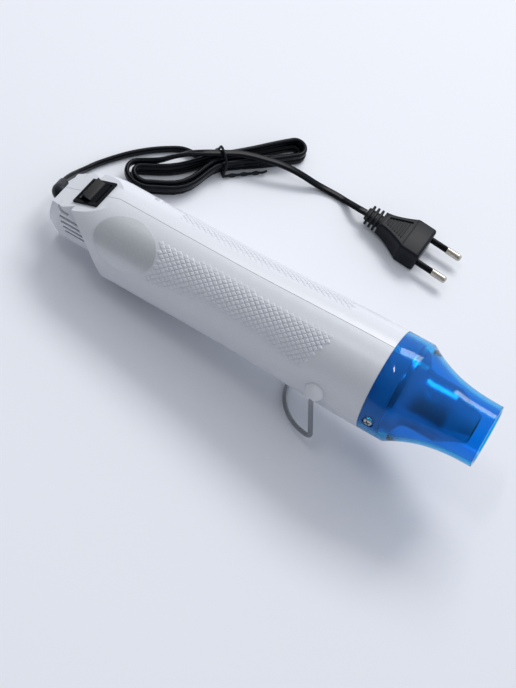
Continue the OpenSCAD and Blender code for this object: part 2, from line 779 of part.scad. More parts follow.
// Stand: two legs whose ends turn in to the pivots, and a curved foot between them.
// The bends run a short way into the straight stretches, which are a little thicker.
bend_section = disc_section(wire_r - 0.02, 12);
bend_lap = 0.6;
pin_top = leg_y - stand_bend;
function top_bend(sign) = concat([[0, sign * (pin_top - bend_lap), 0, 0]],
    [for (a = [0:15:90]) [0, sign * (pin_top + stand_bend * sin(a)), stand_bend * (cos(a) - 1), 0]],
    [[0, sign * leg_y, -stand_bend - bend_lap, 0]]);
function foot_bend(a, sign) = let (inward = stand_bend * (1 - cos(a)))
    [-inward * cos(stand_toe), sign * (leg_y - inward * sin(stand_toe)),
        -stand_leg + stand_bend * (1 - sin(a)), 0];
foot_path = concat([[0, leg_y, -stand_leg + stand_bend + bend_lap, 0]],
    [for (a = [0:15:90]) foot_bend(a, 1)],
    [for (a = [85 - stand_toe:-5:stand_toe - 85]) [foot_x - foot_r * cos(a), foot_r * sin(a), -stand_leg, 0]],
    [for (a = [90:-15:0]) foot_bend(a, -1)],
    [[0, -leg_y, -stand_leg + stand_bend + bend_lap, 0]]);

module stand_side(sign) {
    translate([0, sign * (front_r - pin_in), 0]) rotate([-90 * sign, 0, 0])
        cylinder(h = pin_top - front_r + pin_in, r = wire_r);
    translate([0, sign * leg_y, -stand_leg + stand_bend])
        cylinder(h = stand_leg - 2 * stand_bend, r = wire_r);
    swept(top_bend(sign), bend_section, [1, 0, 0]);
}

module stand_wire() {
    color("gray") rest_pose() translate([pivot_x, 0, pivot_z]) rotate([0, -stand_lean, 0]) {
        for (sign = [-1, 1]) stand_side(sign);
        swept(foot_path, bend_section, [1, 0, -0.5]);
    }
}

// Smooth curve through chosen points, steps points to each stretch
function curve_at(a, b, c, d, t) = 0.5 * (2 * b + (c - a) * t + (2 * a - 5 * b + 4 * c - d) * t * t
    + (3 * b - a - 3 * c + d) * t * t * t);
function smooth_path(p, steps) = let (last = len(p) - 1) concat(
    [for (i = [0:last - 1], k = [0:steps - 1])
        curve_at(p[max(i - 1, 0)], p[i], p[i + 1], p[min(i + 2, last)], k / steps)], [p[last]]);

// Wires inside the housing, in the tool's own frame
wire_out_r = 0.8;
// Point of a wire: it follows the housing's rear end in the tail, and its wall under the fan's duct
function wire_point(p) = [p[0] + (p[0] < -150 ? rear_x + 186 : 0), p[1],
    p[2] + (p[2] < -19.4 ? wall - 2.2 : 0), p[3]];
module inner_wire(route) {
    path = smooth_path([for (p = route) wire_point(p)], 2);
    rest_pose() swept(path, disc_section(wire_out_r, 8), [0, 0.1, 1]);
}

wire_live_route = [[wall - 175.05, 0, 3.5, 0], [-171.5, -0.5, 3.4, 0], [-169.5, -3.5, 1.5, 0],
    [-168, -5.2, -2, 0], [-166.5, -5.2, -5, 0], [-164.5, -3.6, -6.4, 0], [-163, -1.4, -5.4, 0],
    [-163.1, 0, -2.8, 0], [-164.23, 0, -0.08, 0]];
wire_neutral_route = [[wall - 175.05, 0, 1.5, 0], [-171, 0.5, 0.5, 0], [-168.5, 2.6, -4, 0],
    [-162, 2.6, -9, 0], [-152, 2.4, -11, 0], [-140, 2.2, -11, 0], [-132, 2, -12.5, 0],
    [-125, 2, -18, 0], [-119, 2, -20.5, 0], [-110, 2, -20.6, 0], [-90, 2, -20.6, 0], [-70, 2, -20.6, 0],
    [-62, 2, -19.5, 0], [-54, 4, -11, 0], [-46, 4.4, -4, 0], [-41, 3.2, 3, 0],
    [-38.5, 2.6, 4.2, 0], [-35.55, 2.6, 4.2, 0]];
wire_switched_route = [[-157.76, 0, 2.64, 0], [-156.6, 0, -0.1, 0], [-155, -1, -5, 0],
    [-150, -2, -10, 0], [-140, -2.2, -11, 0], [-132, -2, -12.5, 0], [-125, -2, -18, 0], [-119, -2, -20.5, 0],
    [-110, -2, -20.6, 0], [-90, -2, -20.6, 0], [-70, -2, -20.6, 0], [-62, -2, -19.5, 0], [-54, -5, -11, 0],
    [-47, -6, 0, 0], [-42, -4, 7, 0], [-39, -2.4, 8.95, 0], [-35.05, -2.4, 8.95, 0]];

module wire_live() {
    color("saddlebrown") inner_wire(wire_live_route);
}

module wire_neutral() {
    color("navy") inner_wire(wire_neutral_route);
}

module wire_switched() {
    color("saddlebrown") inner_wire(wire_switched_route);
}

// Hank: one tube that spirals in on the table, climbs along a run and spirals out on top
hank_at = [-77, 87];
hank_turned = 52.7;
hank_run = 45;
fold_left = 4.2;
fold_right = 2.2;
loop_step = 3.5;
waist_half = 0.3;
layer_step = cord_w + 0.45;
hank_turns = 3;
hank_start = 0.115;
hank_rings = 24;
tie_room = 0.9;
waist_len = 24;
left_shift = 4.5;
left_bulge = 3;
climb_turn = 0.11;

function hank_coil(v) = loop_step * abs(hank_turns / 2 - v);
function waist_lift(s) = tie_room * swell(max(0, 1 - abs(s) / waist_len));
function fold_r(s) = s > 0 ? fold_right : fold_left;
function run_w(v, s) = hank_coil(v) + waist_half
    + (fold_r(s) - waist_half) * swell(min(1, abs(s) / hank_run));
function wave(s, reach) = s < 0 && s > -reach ? (1 - cos(360 * s / reach)) / 2 : 0;
function hank_flat(v) = let (q = floor(4 * v + 0.000001) % 4, t = 4 * v - floor(4 * v + 0.000001),
        s = hank_run * (2 * t - 1))
    q == 0 ? [s, run_w(v, s)]
    : q == 1 ? let (r = fold_right + hank_coil(v)) [hank_run + r * sin(180 * t), r * cos(180 * t)]
    : q == 2 ? [-s, -run_w(v, -s) - left_bulge * wave(-s, hank_run)]
    : let (r = fold_left + hank_coil(v)) [-hank_run - r * sin(180 * t), -r * cos(180 * t)];
function hank_level(v) = layer_step * swell(min(1, max(0, (v - hank_turns / 2) / climb_turn)));
function in_hank(p) = [hank_at[0] + p[0] * cos(hank_turned) - p[1] * sin(hank_turned),
    hank_at[1] + p[0] * sin(hank_turned) + p[1] * cos(hank_turned), p[2], p[3]];
function hank_point(v) = let (f = hank_flat(v))
    in_hank([f[0], f[1] - left_shift * wave(f[0], 60),
        cord_w / 2 + 0.02 + hank_level(v) + waist_lift(f[0]), 0]);
hank_count = ceil((hank_turns - hank_start) * hank_rings);
hank_path = [for (i = [0:hank_count]) hank_point(hank_start + (hank_turns - hank_start) * i / hank_count)];
hank_corners = [for (i = [0:hank_count]) ring_points(hank_path, i, flat_section(6), [0, 0, 1])];
hank_gap = min([for (i = [0:hank_count], j = [i + 8:1:hank_count], a = hank_corners[i], b = hank_corners[j])
    norm(a - b)]);

module cord_hank() {
    echo(least_gap_of_the_hank_to_itself = hank_gap);
    color("black") swept(hank_path, flat_section(6), [0, 0, 1]);
}

// Cord from the boot to the hank, standing on its edge on the table
lead_start = placed(boot_end);
lead_dir = placed(boot_end + boot_dir) - lead_start;
hank_in = xyz(hank_path[0]);
hank_in_dir = path_dir(hank_path, 0);
function with_roll(p, roll) = [p[0], p[1], p[2], roll];
lead_route = concat([with_roll(lead_start + lead_dir * 0.05, 0), with_roll(lead_start + lead_dir * 4, 0)],
    [[-130.4, 21, 9.6, 0], [-130.3, 28, 5.6, 0], [-129.3, 34.8, 3, 0], [-127.4, 41.3, 2.2, 0],
        [-122.6, 51.2, 2.2, 0], [-117.2, 60.5, 2.2, 0], [-111, 69, 2.2, 0], [-104.2, 76.4, 2.2, 0],
        [-97, 82, 2.3, 0]],
    [with_roll(hank_in - hank_in_dir * 4, 0), with_roll(hank_in - hank_in_dir * 0.3, 0)]);

module cord_lead() {
    color("black") swept(smooth_path(lead_route, 2), flat_section(8), [0, 0, 1]);
}

// Cord from the hank to the plug: over the top at the tie, then flat along the table
hank_out = xyz(hank_path[hank_count]);
hank_out_dir = path_dir(hank_path, hank_count);
plug_at = [41.8, 111.5, plug_t / 2 + 0.02];
plug_back = plug_at - [37.8, 0, 0];
tail_route = concat([with_roll(hank_out + hank_out_dir * 0.1, 0), with_roll(hank_out + hank_out_dir * 4, 0)],
    [for (p = [[-35, 4.6, 8.4, 8], [-27, 4, 10.4, 30], [-18, 3.2, 12.2, 65], [-9, 2, 12.1, 88],
        [0, 0.6, 11.5, 90], [9, -1.2, 11.3, 90], [16, -3.8, 11, 90], [23, -7.4, 10.7, 90],
        [30, -11.2, 10.2, 90], [36, -14.8, 8.9, 90], [41.5, -18.4, 7, 90], [46.5, -21.8, 4.8, 90]])
        in_hank(p)],
    [[-27.2, 112.4, 3, 90], [-21.6, 114, 1.7, 90], [-15.8, 114.9, 1.35, 90], [-10, 114.6, 2, 90],
        [-5.5, 113.1, 4.2, 90]],
    [with_roll(plug_back - [4.5, 0, 0.4], 90), with_roll(plug_back - [0.1, 0, 0], 90)]);

module cord_tail() {
    color("black") swept(smooth_path(tail_route, 2), flat_section(8), [0, 0, 1]);
}

// Wire tie round the hank, with its two ends twisted aside
tie_t = 0.7;
tie_near = -6;
tie_far = 7;
tie_low = 0.72;
tie_shoulder = 9.9;
tie_high = 13;

// Outline of the tie's opening, grown outwards by grow
module tie_outline(grow) {
    polygon([[tie_near - grow, tie_low - grow], [tie_far + grow, tie_low - grow],
        [tie_far + grow, tie_shoulder + grow / 2], [3.2 + grow / 2, tie_high + grow],
        [-2 - grow / 2, tie_high + grow], [tie_near - grow, tie_shoulder + grow / 2]]);
}

module cord_tie() {
    color("black") translate([hank_at[0], hank_at[1], 0]) rotate([0, 0, hank_turned]) {
        translate([-tie_t, 0, 0]) rotate([90, 0, 90]) linear_extrude(height = 2 * tie_t) difference() {
            tie_outline(tie_t);
            tie_outline(0);
        }
        for (k = [0, 1]) translate([-0.4, tie_near - 1.5 - 0.4 * k, tie_t + 0.1 + 1.3 * k])
            rotate([0, 0, -4 - 3 * k]) rotate([0, 90, 0]) cylinder(h = 21 + 4 * k, r = tie_t, $fn = 24);
    }
}

// Plug, with x towards its pins
module plug_frame() {
    translate(plug_at) children();
}

plug_block = 11.2;
plug_flare = 15.8;
plug_neck_w = 11;
plug_neck_t = 9.2;
plug_len = 37.7;
pin_in_plug = 8;
flare_steps = 6;
function plug_half(t) = plug_neck_w / 2 + (plug_w - plug_neck_w) / 2 * pow(t, 1.5);
plug_side = concat([[0, plug_w / 2 - 1.2], [-1.2, plug_w / 2]],
    [for (i = [flare_steps:-1:0]) let (t = i / flare_steps)
        [-plug_block - plug_flare * (1 - t), plug_half(t)]]);

module plug_body() {
    color("black") plug_frame() difference() {
        union() {
            intersection() {
                translate([0, 0, -plug_t / 2]) linear_extrude(height = plug_t)
                    polygon(concat(plug_side,
                        [for (i = [len(plug_side) - 1:-1:0]) [plug_side[i][0], -plug_side[i][1]]]));
                rotate([90, 0, 0]) linear_extrude(height = plug_w + 1, center = true)
                    polygon([[0.1, plug_t / 2], [-plug_block, plug_t / 2], [-28, plug_neck_t / 2],
                        [-28, -plug_neck_t / 2], [-plug_block, -plug_t / 2], [0.1, -plug_t / 2]]);
            }
            translate([-plug_len, -3.2, -2.6]) cube([plug_len - plug_block - plug_flare + 0.5, 6.4, 5.2]);
            for (k = [0:3]) translate([-plug_len + 1.5 + 2.6 * k, -4.7 - 0.2 * k, -3.9 - 0.15 * k])
                cube([1.5, 9.4 + 0.4 * k, 7.8 + 0.3 * k]);
        }
        for (side = [-1, 1]) rod_x([-pin_in_plug - 0.1, side * pin_gap / 2, 0], 10, 1.3);
    }
}

pin_sleeve = 10;
module plug_pins() {
    color("silver") plug_frame() for (side = [-1, 1]) translate([0, side * pin_gap / 2, 0]) {
        rod_x([-pin_in_plug, 0, 0], pin_sleeve + pin_in_plug + 0.2, 1.25);
        rod_x([pin_sleeve + 0.05, 0, 0], pin_len - pin_sleeve - 0.8, 2);
        rod_x([pin_sleeve, 0, 0], pin_len - pin_sleeve, 1.4);
    }
}

module plug_sleeves() {
    color("black") plug_frame() for (side = [-1, 1]) translate([0, side * pin_gap / 2, 0])
        ring(0.02, pin_sleeve, 1.75, 1.27);
}

housing_right();
housing_left();
nozzle_shield();
shield_screws();
steel_nozzle();
heater_base();
mica_plate_upright();
mica_plate_flat();
mica_sleeve();
heater_coil();
heater_terminals();
thermal_cutout();
fan_duct();
fan_impeller();
motor_shaft();
motor_core();
motor_can();
motor_magnets();
motor_end_cap();
motor_bearings();
motor_screws();
rectifier_board();
rectifier_diodes();
switch_body();
switch_rocker();
switch_terminals();
cord_boot();
cord_inner_end();
cord_clamp();
clamp_screws();
housing_screws();
stand_wire();
rating_label();
wire_live();
wire_neutral();
wire_switched();
cord_lead();
cord_hank();
cord_tail();
cord_tie();
plug_body();
plug_pins();
plug_sleeves();
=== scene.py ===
"""Looks of a small hand-held embossing heat tool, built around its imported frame.

Sizes are in millimetres and in the tool's own frame, x forward from the rear face of the
nozzle collar, unless a name or a comment says otherwise. RestPose sets them down on the table.
"""

import json
import logging
import math
from contextlib import contextmanager
from dataclasses import dataclass, field
from enum import Enum
from typing import Iterable, Iterator, Optional, Sequence

import bmesh
import bpy
import numpy as np
from mathutils import Euler, Matrix, Vector


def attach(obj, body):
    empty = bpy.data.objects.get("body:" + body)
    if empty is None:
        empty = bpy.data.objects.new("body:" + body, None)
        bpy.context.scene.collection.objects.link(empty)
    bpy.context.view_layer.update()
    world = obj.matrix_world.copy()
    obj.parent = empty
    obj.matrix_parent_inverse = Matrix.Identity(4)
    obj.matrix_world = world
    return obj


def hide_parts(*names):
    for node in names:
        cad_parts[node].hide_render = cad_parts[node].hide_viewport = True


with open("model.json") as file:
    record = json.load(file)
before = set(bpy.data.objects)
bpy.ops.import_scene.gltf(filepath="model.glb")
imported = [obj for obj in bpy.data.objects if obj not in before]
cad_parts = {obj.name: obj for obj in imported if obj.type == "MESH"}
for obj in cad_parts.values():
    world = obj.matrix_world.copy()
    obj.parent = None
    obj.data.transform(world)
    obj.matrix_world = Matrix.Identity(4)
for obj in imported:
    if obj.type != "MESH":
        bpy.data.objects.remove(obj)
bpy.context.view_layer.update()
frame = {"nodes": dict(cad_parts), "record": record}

LOG = logging.getLogger("heat_tool")
MM = 0.001
UP = Vector((0, 0, 1))
Point = Sequence[float]
Outline = Sequence[tuple[float, float]]
Piece = bpy.types.Object
Faces = list[tuple[int, ...]]


class Body(Enum):
    """Moving bodies of the frame, by the names that the record gives them."""

    HOUSING = "housing"
    STAND = "stand"
    ROCKER = "rocker"
    ROTOR = "rotor"


class Grain(Enum):
    """What breaks up a surface: how it was made leaves one of these behind."""

    MOULDED = "fine noise of a mould's skin"
    BRUSHED = "noise drawn out along one direction"
    WOUND = "bands of wire lying side by side"
    FLAKED = "flat flakes pressed together"
    WOVEN = "threads crossing at right angles"
    EXTRUDED = "lines drawn along a cord by its die"


# Small tools


def linear(code: str) -> tuple[float, float, float, float]:
    """Turns an sRGB hex value into the linear colour that Blender's sockets hold.

    Args:
        code: Colour as "#rrggbb".

    Returns:
        Red, green, blue and an alpha of one.
    """
    parts = [int(code[i:i + 2], 16) / 255 for i in (1, 3, 5)]
    low, gain, power = 0.04045, 12.92, 2.4
    red, green, blue = (p / gain if p <= low else ((p + 0.055) / 1.055) ** power for p in parts)
    return red, green, blue, 1.0


def add(tree: bpy.types.NodeTree, kind: str, inputs: Optional[dict[str | int, object]] = None,
        **settings: object) -> bpy.types.Node:
    """Adds one node, with its settings, values and links.

    Args:
        tree: Node tree that takes the node.
        kind: Blender's type name of the node.
        inputs: Socket name or number to a value, or to the output that is linked to it.
        **settings: Properties of the node itself.

    Returns:
        The new node.
    """
    node = tree.nodes.new(kind)
    for key, value in settings.items():
        setattr(node, key, value)
    for key, value in (inputs or {}).items():
        if isinstance(value, bpy.types.NodeSocket):
            tree.links.new(value, node.inputs[key])
        else:
            node.inputs[key].default_value = value
    return node


def empty_tree(owner: bpy.types.ID) -> bpy.types.NodeTree:
    """Turns on the nodes of a material or a world and empties their tree.

    Args:
        owner: The material or the world.

    Returns:
        Its tree.
    """
    owner.use_nodes = True
    owner.node_tree.nodes.clear()
    return owner.node_tree


def in_scene(name: str, data: bpy.types.ID) -> Piece:
    """Puts data into the scene as an object at the origin.

    Args:
        name: Name of the object.
        data: Its mesh, lamp or camera.

    Returns:
        The linked object.
    """
    thing = bpy.data.objects.new(name, data)
    bpy.context.scene.collection.objects.link(thing)
    return thing


def swell(t: float) -> float:
    """Smooth step from 0 to 1."""
    return t * t * (3 - 2 * t)


def between(table: Outline, x: float) -> float:
    """Value at x of straight stretches through (x, value) pairs."""
    xs, values = zip(*table)
    return float(np.interp(x, xs, values))


def catmull(points: Sequence[Point], steps: int) -> list[list[float]]:
    """Smooth curve through chosen points.

    Args:
        points: Points of any number of values, the last of which may be a roll.
        steps: New points to each stretch.

    Returns:
        The points of the curve, the chosen ones among them.
    """
    p = np.array(points, float)
    out = []
    for i in range(len(p) - 1):
        a, b, c, d = p[max(i - 1, 0)], p[i], p[i + 1], p[min(i + 2, len(p) - 1)]
        for t in np.arange(steps) / steps:
            out.append(0.5 * (2 * b + (c - a) * t + (2 * a - 5 * b + 4 * c - d) * t * t
                              + (3 * b - a - 3 * c + d) * t ** 3))
    out.append(p[-1])
    return [list(map(float, q)) for q in out]


@dataclass(frozen=True)
class SharedSizes:
    """Sizes of the tool that several sub-assemblies meet at."""

    front_r: float = 26.3
    grip_r: float = 24.0
    swell_len: float = 90.0
    rear_x: float = -186.0
    shield_screw_x: float = 5.0
    shield_screw_recess: float = 1.4

    def handle_r(self, x: float) -> float:
        """Radius of the handle at x."""
        return self.grip_r + (self.front_r - self.grip_r) * swell(max(0.0, 1 + x / self.swell_len))


TOOL = SharedSizes()


@dataclass(frozen=True)
class RestPose:
    """How the tool stands on the table, nose up on its stand."""

    tilt: float = 7.88208
    lift: float = 44.365
    ahead: float = 63.993

    def matrix(self) -> Matrix:
        """Tool frame in millimetres to the frame of the part in metres."""
        turn = Matrix.Rotation(math.radians(-self.tilt), 4, "Y")
        return Matrix.Scale(MM, 4) @ Matrix.Translation((self.ahead, 0, self.lift)) @ turn


POSE = RestPose()
ON_TABLE = Matrix.Scale(MM, 4)
CAD_DOUBLES = 2e-6
DRAWN_DOUBLES = 1e-7


def new_piece(name: str, vertices: Iterable[Point], faces: Faces, place: Matrix,
              edges: Sequence[tuple[int, int]] = ()) -> Piece:
    """Makes a mesh object that sits at the origin with its place in its mesh.

    Args:
        name: Name of the piece.
        vertices: Points in the frame that place starts from.
        faces: Corners of each face.
        place: Turns those points into metres in the part's frame.
        edges: Loose edges, where there are no faces.

    Returns:
        The linked object.
    """
    mesh = bpy.data.meshes.new(name)
    mesh.from_pydata([place @ Vector(v[:3]) for v in vertices], list(edges), faces)
    mesh.validate()
    return in_scene(name, mesh)


@contextmanager
def reshaped(mesh: bpy.types.Mesh) -> Iterator[bmesh.types.BMesh]:
    """Opens a mesh for changes and writes them back.

    Args:
        mesh: The mesh.

    Yields:
        Its form that can be changed.
    """
    shape = bmesh.new()
    shape.from_mesh(mesh)
    yield shape
    shape.to_mesh(mesh)
    shape.free()


def tidy_normals(piece: Piece, merge: float = 0.0) -> None:
    """Merges doubles and turns all faces outwards.

    Args:
        piece: The piece.
        merge: Distance in metres within which points become one, or zero for none.
    """
    with reshaped(piece.data) as shape:
        if merge:
            bmesh.ops.remove_doubles(shape, verts=shape.verts, dist=merge)
        bmesh.ops.recalc_face_normals(shape, faces=shape.faces)


def soften(piece: Piece, angle: float) -> None:
    """Shades a piece smooth, with its edges over an angle in degrees left crisp.

    Args:
        piece: The piece.
        angle: Least angle in degrees of an edge that stays crisp.
    """
    for face in piece.data.polygons:
        face.use_smooth = True
    piece.data.set_sharp_from_angle(angle=math.radians(angle))


def settle(piece: Piece) -> Piece:
    """Turns a piece and its modifiers into a plain mesh.

    Args:
        piece: The piece.

    Returns:
        The same piece.
    """
    bpy.context.view_layer.update()
    seen = piece.evaluated_get(bpy.context.evaluated_depsgraph_get())
    mesh = bpy.data.meshes.new_from_object(seen, preserve_all_data_layers=True,
                                           depsgraph=bpy.context.evaluated_depsgraph_get())
    piece.modifiers.clear()
    old, piece.data = piece.data, mesh
    mesh.name = piece.name
    if old.users == 0:
        bpy.data.meshes.remove(old)
    return piece


def round_edges(piece: Piece, width: float) -> None:
    """Rounds the edges of a piece that turn by 40 degrees or more, and settles it.

    Args:
        piece: The piece.
        width: Width of the rounding in millimetres.
    """
    bevel = piece.modifiers.new("Rounded edges", "BEVEL")
    bevel.width, bevel.segments = width * MM, 2
    bevel.limit_method, bevel.angle_limit = "ANGLE", math.radians(40)
    bevel.use_clamp_overlap = True
    settle(piece)


def carve(piece: Piece, cutters: Sequence[Piece]) -> None:
    """Cuts other objects out of a piece and removes them.

    Args:
        piece: The piece.
        cutters: Closed shapes.
    """
    for cutter in cutters:
        cut = piece.modifiers.new("Cut", "BOOLEAN")
        cut.operation, cut.solver, cut.object = "DIFFERENCE", "EXACT", cutter
    settle(piece)
    for cutter in cutters:
        bpy.data.objects.remove(cutter)


def lathe(profile: Outline, segments: int, closed: bool = True) -> tuple[list[Point], Faces]:
    """Turns an (x, radius) outline about the x axis.

    Args:
        profile: Points of the outline. Where it isn't closed, its ends lie on the axis.
        segments: Steps round the axis.
        closed: Whether the outline's last point joins its first.

    Returns:
        Vertices and faces.
    """
    count = len(profile)
    vertices = [(x, r * math.cos(math.tau * k / segments), r * math.sin(math.tau * k / segments))
                for k in range(segments) for x, r in profile]
    last = count if closed else count - 1
    faces = [((k * count) + i, (k * count) + (i + 1) % count,
              ((k + 1) % segments * count) + (i + 1) % count, ((k + 1) % segments * count) + i)
             for k in range(segments) for i in range(last)]
    return vertices, faces


def turned_piece(name: str, profile: Outline, segments: int, place: Optional[Matrix] = None,
                 closed: bool = True) -> Piece:
    """Makes a turned piece, its doubles on the axis merged and its faces outwards.

    Args:
        name: Name of the piece.
        profile: Its outline, as lathe takes it.
        segments: Steps round the axis.
        place: Its frame, or none for the tool's own.
        closed: Whether the outline's last point joins its first.

    Returns:
        The piece.
    """
    piece = new_piece(name, *lathe(profile, segments, closed), place or POSE.matrix())
    tidy_normals(piece, DRAWN_DOUBLES)
    return piece


def tube_faces(rings: int, sides: int) -> Faces:
    """Faces of a tube whose points come ring by ring, with both ends closed.

    Args:
        rings: Number of rings.
        sides: Points of each ring.

    Returns:
        The faces.
    """
    faces: Faces = [(i + k, i + (k + 1) % sides, i + sides + (k + 1) % sides, i + sides + k)
                    for i in range(0, (rings - 1) * sides, sides) for k in range(sides)]
    end = (rings - 1) * sides
    return [*faces, tuple(range(sides - 1, -1, -1)), tuple(range(end, end + sides))]


def sweep(path: Sequence[Point], section: Outline) -> tuple[list[Point], Faces]:
    """Sweeps a closed section along a path, with its last value as the roll in degrees.

    Args:
        path: Points of x, y, z and roll.
        section: Points across the path: sideways and upwards where the roll is zero.

    Returns:
        Vertices and faces, the ends closed.
    """
    points = [Vector(p[:3]) for p in path]
    vertices: list[Point] = []
    for i, at in enumerate(points):
        ahead = (points[min(i + 1, len(points) - 1)] - points[max(i - 1, 0)]).normalized()
        side = UP.cross(ahead).normalized()
        top = ahead.cross(side)
        roll = math.radians(path[i][3])
        for a, b in section:
            vertices.append(at + side * (a * math.cos(roll) - b * math.sin(roll))
                            + top * (a * math.sin(roll) + b * math.cos(roll)))
    return vertices, tube_faces(len(points), len(section))


def fine_copy(node: str, name: str) -> Piece:
    """Copies a CAD node, with its loose triangles joined so that it can be shaded smoothly.

    Args:
        node: Name of the node.
        name: Name of the copy.

    Returns:
        The copy.
    """
    source = frame["nodes"][node]
    piece = in_scene(name, source.data.copy())
    piece.data.transform(source.matrix_world)
    with reshaped(piece.data) as shape:
        bmesh.ops.remove_doubles(shape, verts=shape.verts, dist=CAD_DOUBLES)
    if piece.data.has_custom_normals:
        with bpy.context.temp_override(object=piece, active_object=piece):
            bpy.ops.mesh.customdata_custom_splitnormals_clear()
    return piece


def weigh_normals(piece: Piece, angle: float) -> None:
    """Shades by face area, so that flat faces stay flat beside rounded ones.

    Args:
        piece: The piece.
        angle: Least angle in degrees of an edge that stays crisp.
    """
    soften(piece, angle)
    weigh = piece.modifiers.new("Weighted shading", "WEIGHTED_NORMAL")
    weigh.keep_sharp = True
    settle(piece)


# Finishes


@dataclass(frozen=True)
class Finish:
    """One real material with the surface its making leaves.

    The grain's size and relief are in millimetres. tint is the colour of the grain's patches.
    """

    name: str
    colour: str
    tint: str
    roughness: float
    grain: Grain = Grain.MOULDED
    size: float = 0.5
    relief: float = 0.01
    spread: float = 0.06
    metallic: float = 0.0
    ior: float = 1.5
    transmission: float = 0.0
    specular: float = 0.5
    tint_low: float = 0.35
    tint_high: float = 0.75

    def pattern(self, tree: bpy.types.NodeTree) -> bpy.types.NodeSocket:
        """Adds the nodes of the grain.

        Args:
            tree: The material's tree.

        Returns:
            The grain as a number from 0 to 1.
        """
        place = add(tree, "ShaderNodeTexCoord")
        per_metre = 1 / (self.size * MM)
        spot = place.outputs["UV" if self.grain is Grain.EXTRUDED else "Object"]
        stretch = {Grain.BRUSHED: (0.06, 1.0, 1.0), Grain.EXTRUDED: (0.02, 1.0, 1.0)}
        scaled = add(tree, "ShaderNodeMapping", {
            "Vector": spot, "Scale": [per_metre * s for s in stretch.get(self.grain, (1, 1, 1))]})
        if self.grain is Grain.FLAKED:
            cells = add(tree, "ShaderNodeTexVoronoi", {"Vector": scaled.outputs[0], "Scale": 1.0},
                        feature="F1")
            return cells.outputs["Distance"]
        if self.grain is Grain.WOUND:
            bands = add(tree, "ShaderNodeTexWave", {
                "Vector": scaled.outputs[0], "Scale": 0.5, "Distortion": 0.6, "Detail": 1.0},
                wave_type="BANDS", bands_direction="DIAGONAL")
            return bands.outputs["Fac"]
        if self.grain is Grain.WOVEN:
            threads = add(tree, "ShaderNodeTexBrick", {
                "Vector": scaled.outputs[0], "Scale": 1.0, "Mortar Size": 0.06,
                "Color1": (0.9, 0.9, 0.9, 1), "Color2": (0.4, 0.4, 0.4, 1), "Mortar": (0, 0, 0, 1)})
            return threads.outputs["Fac"]
        noise = add(tree, "ShaderNodeTexNoise", {
            "Vector": scaled.outputs[0], "Scale": 1.0, "Detail": 3.0, "Roughness": 0.55})
        return noise.outputs["Fac"]

    def material(self) -> bpy.types.Material:
        """Builds the material once, and hands out the same one after that.

        Returns:
            The material.
        """
        known = bpy.data.materials.get(self.name)
        if known:
            return known
        made = bpy.data.materials.new(self.name)
        tree = empty_tree(made)
        mask = self.pattern(tree)
        shade = add(tree, "ShaderNodeMapRange", {
            "Value": mask, "From Min": self.tint_low, "From Max": self.tint_high})
        colour = add(tree, "ShaderNodeMix", {
            0: shade.outputs[0], 6: linear(self.colour), 7: linear(self.tint)}, data_type="RGBA")
        rough = add(tree, "ShaderNodeMapRange", {
            "Value": mask, "To Min": max(self.roughness - self.spread, 0.0),
            "To Max": self.roughness + self.spread})
        bump = add(tree, "ShaderNodeBump", {
            "Height": mask, "Distance": self.relief * MM, "Strength": 1.0})
        surface = add(tree, "ShaderNodeBsdfPrincipled", {
            "Base Color": colour.outputs[2], "Roughness": rough.outputs[0], "Normal": bump.outputs[0],
            "Metallic": self.metallic, "IOR": self.ior, "Specular IOR Level": self.specular,
            "Transmission Weight": self.transmission})
        add(tree, "ShaderNodeOutputMaterial", {"Surface": surface.outputs[0]})
        return made


# Moulded ABS with a satin gloss: a cool white that takes the blue of the room in its shade.
WHITE_ABS = Finish("moulded_white_abs", "#D7DAE1", "#DDE0E6", 0.3, size=0.7, relief=0.004, spread=0.04)
# Polished polycarbonate, dyed through: clear deep blue, sharp highlights. Its index is set lower than
# the plastic's real 1.58, where the pale room's reflections hid the blue.
BLUE_POLYCARBONATE = Finish("polished_blue_polycarbonate", "#0FB2F4", "#0DACF0", 0.04, size=9.0,
                            relief=0.002, spread=0.02, ior=1.35, transmission=0.97)
# Extruded PVC of the cord: black with a soft sheen, and faint lines from its die.
CORD_PVC = Finish("extruded_black_pvc", "#070A10", "#0B0F17", 0.24, grain=Grain.EXTRUDED, size=0.5,
                  relief=0.004, specular=0.1)
# Moulded PVC of plug and boot: a little duller, with the fine skin of its mould.
MOULDED_PVC = Finish("moulded_black_pvc", "#0E1218", "#12171E", 0.34, size=0.4, relief=0.008,
                     specular=0.14)
# Polished moulding of the switch and the pins' sleeves: deep black with clear highlights.
GLOSS_BLACK = Finish("polished_black_moulding", "#07090E", "#0A0D13", 0.2, size=1.5, relief=0.003,
                     spread=0.04, specular=0.1)
# Drawn and zinc plated steel wire: mid grey, broken up by drawn lines.
DRAWN_WIRE = Finish("drawn_steel_wire", "#989CA0", "#7C8084", 0.32, grain=Grain.BRUSHED, size=0.35,
                    relief=0.008, metallic=0.9, spread=0.1)
# Spun sheet steel of the nozzle: bright cool grey with fine lines of its spinning.
NOZZLE_STEEL = Finish("spun_nozzle_steel", "#C4C8CD", "#A9AEB5", 0.24, grain=Grain.BRUSHED, size=0.8,
                      relief=0.002, metallic=1.0, spread=0.06)
# Zinc plating of the screws: bright cool grey, faintly speckled.
SCREW_ZINC = Finish("zinc_plated_screws", "#C9CBCE", "#A6A9AC", 0.26, size=0.3, relief=0.004,
                    metallic=1.0, spread=0.08)
# Nickel plated brass pins: warm silver with fine scratches from sockets.
PIN_NICKEL = Finish("nickel_plated_pins", "#CFC9BC", "#A9A296", 0.24, grain=Grain.BRUSHED, size=0.4,
                    relief=0.006, metallic=1.0, spread=0.1)
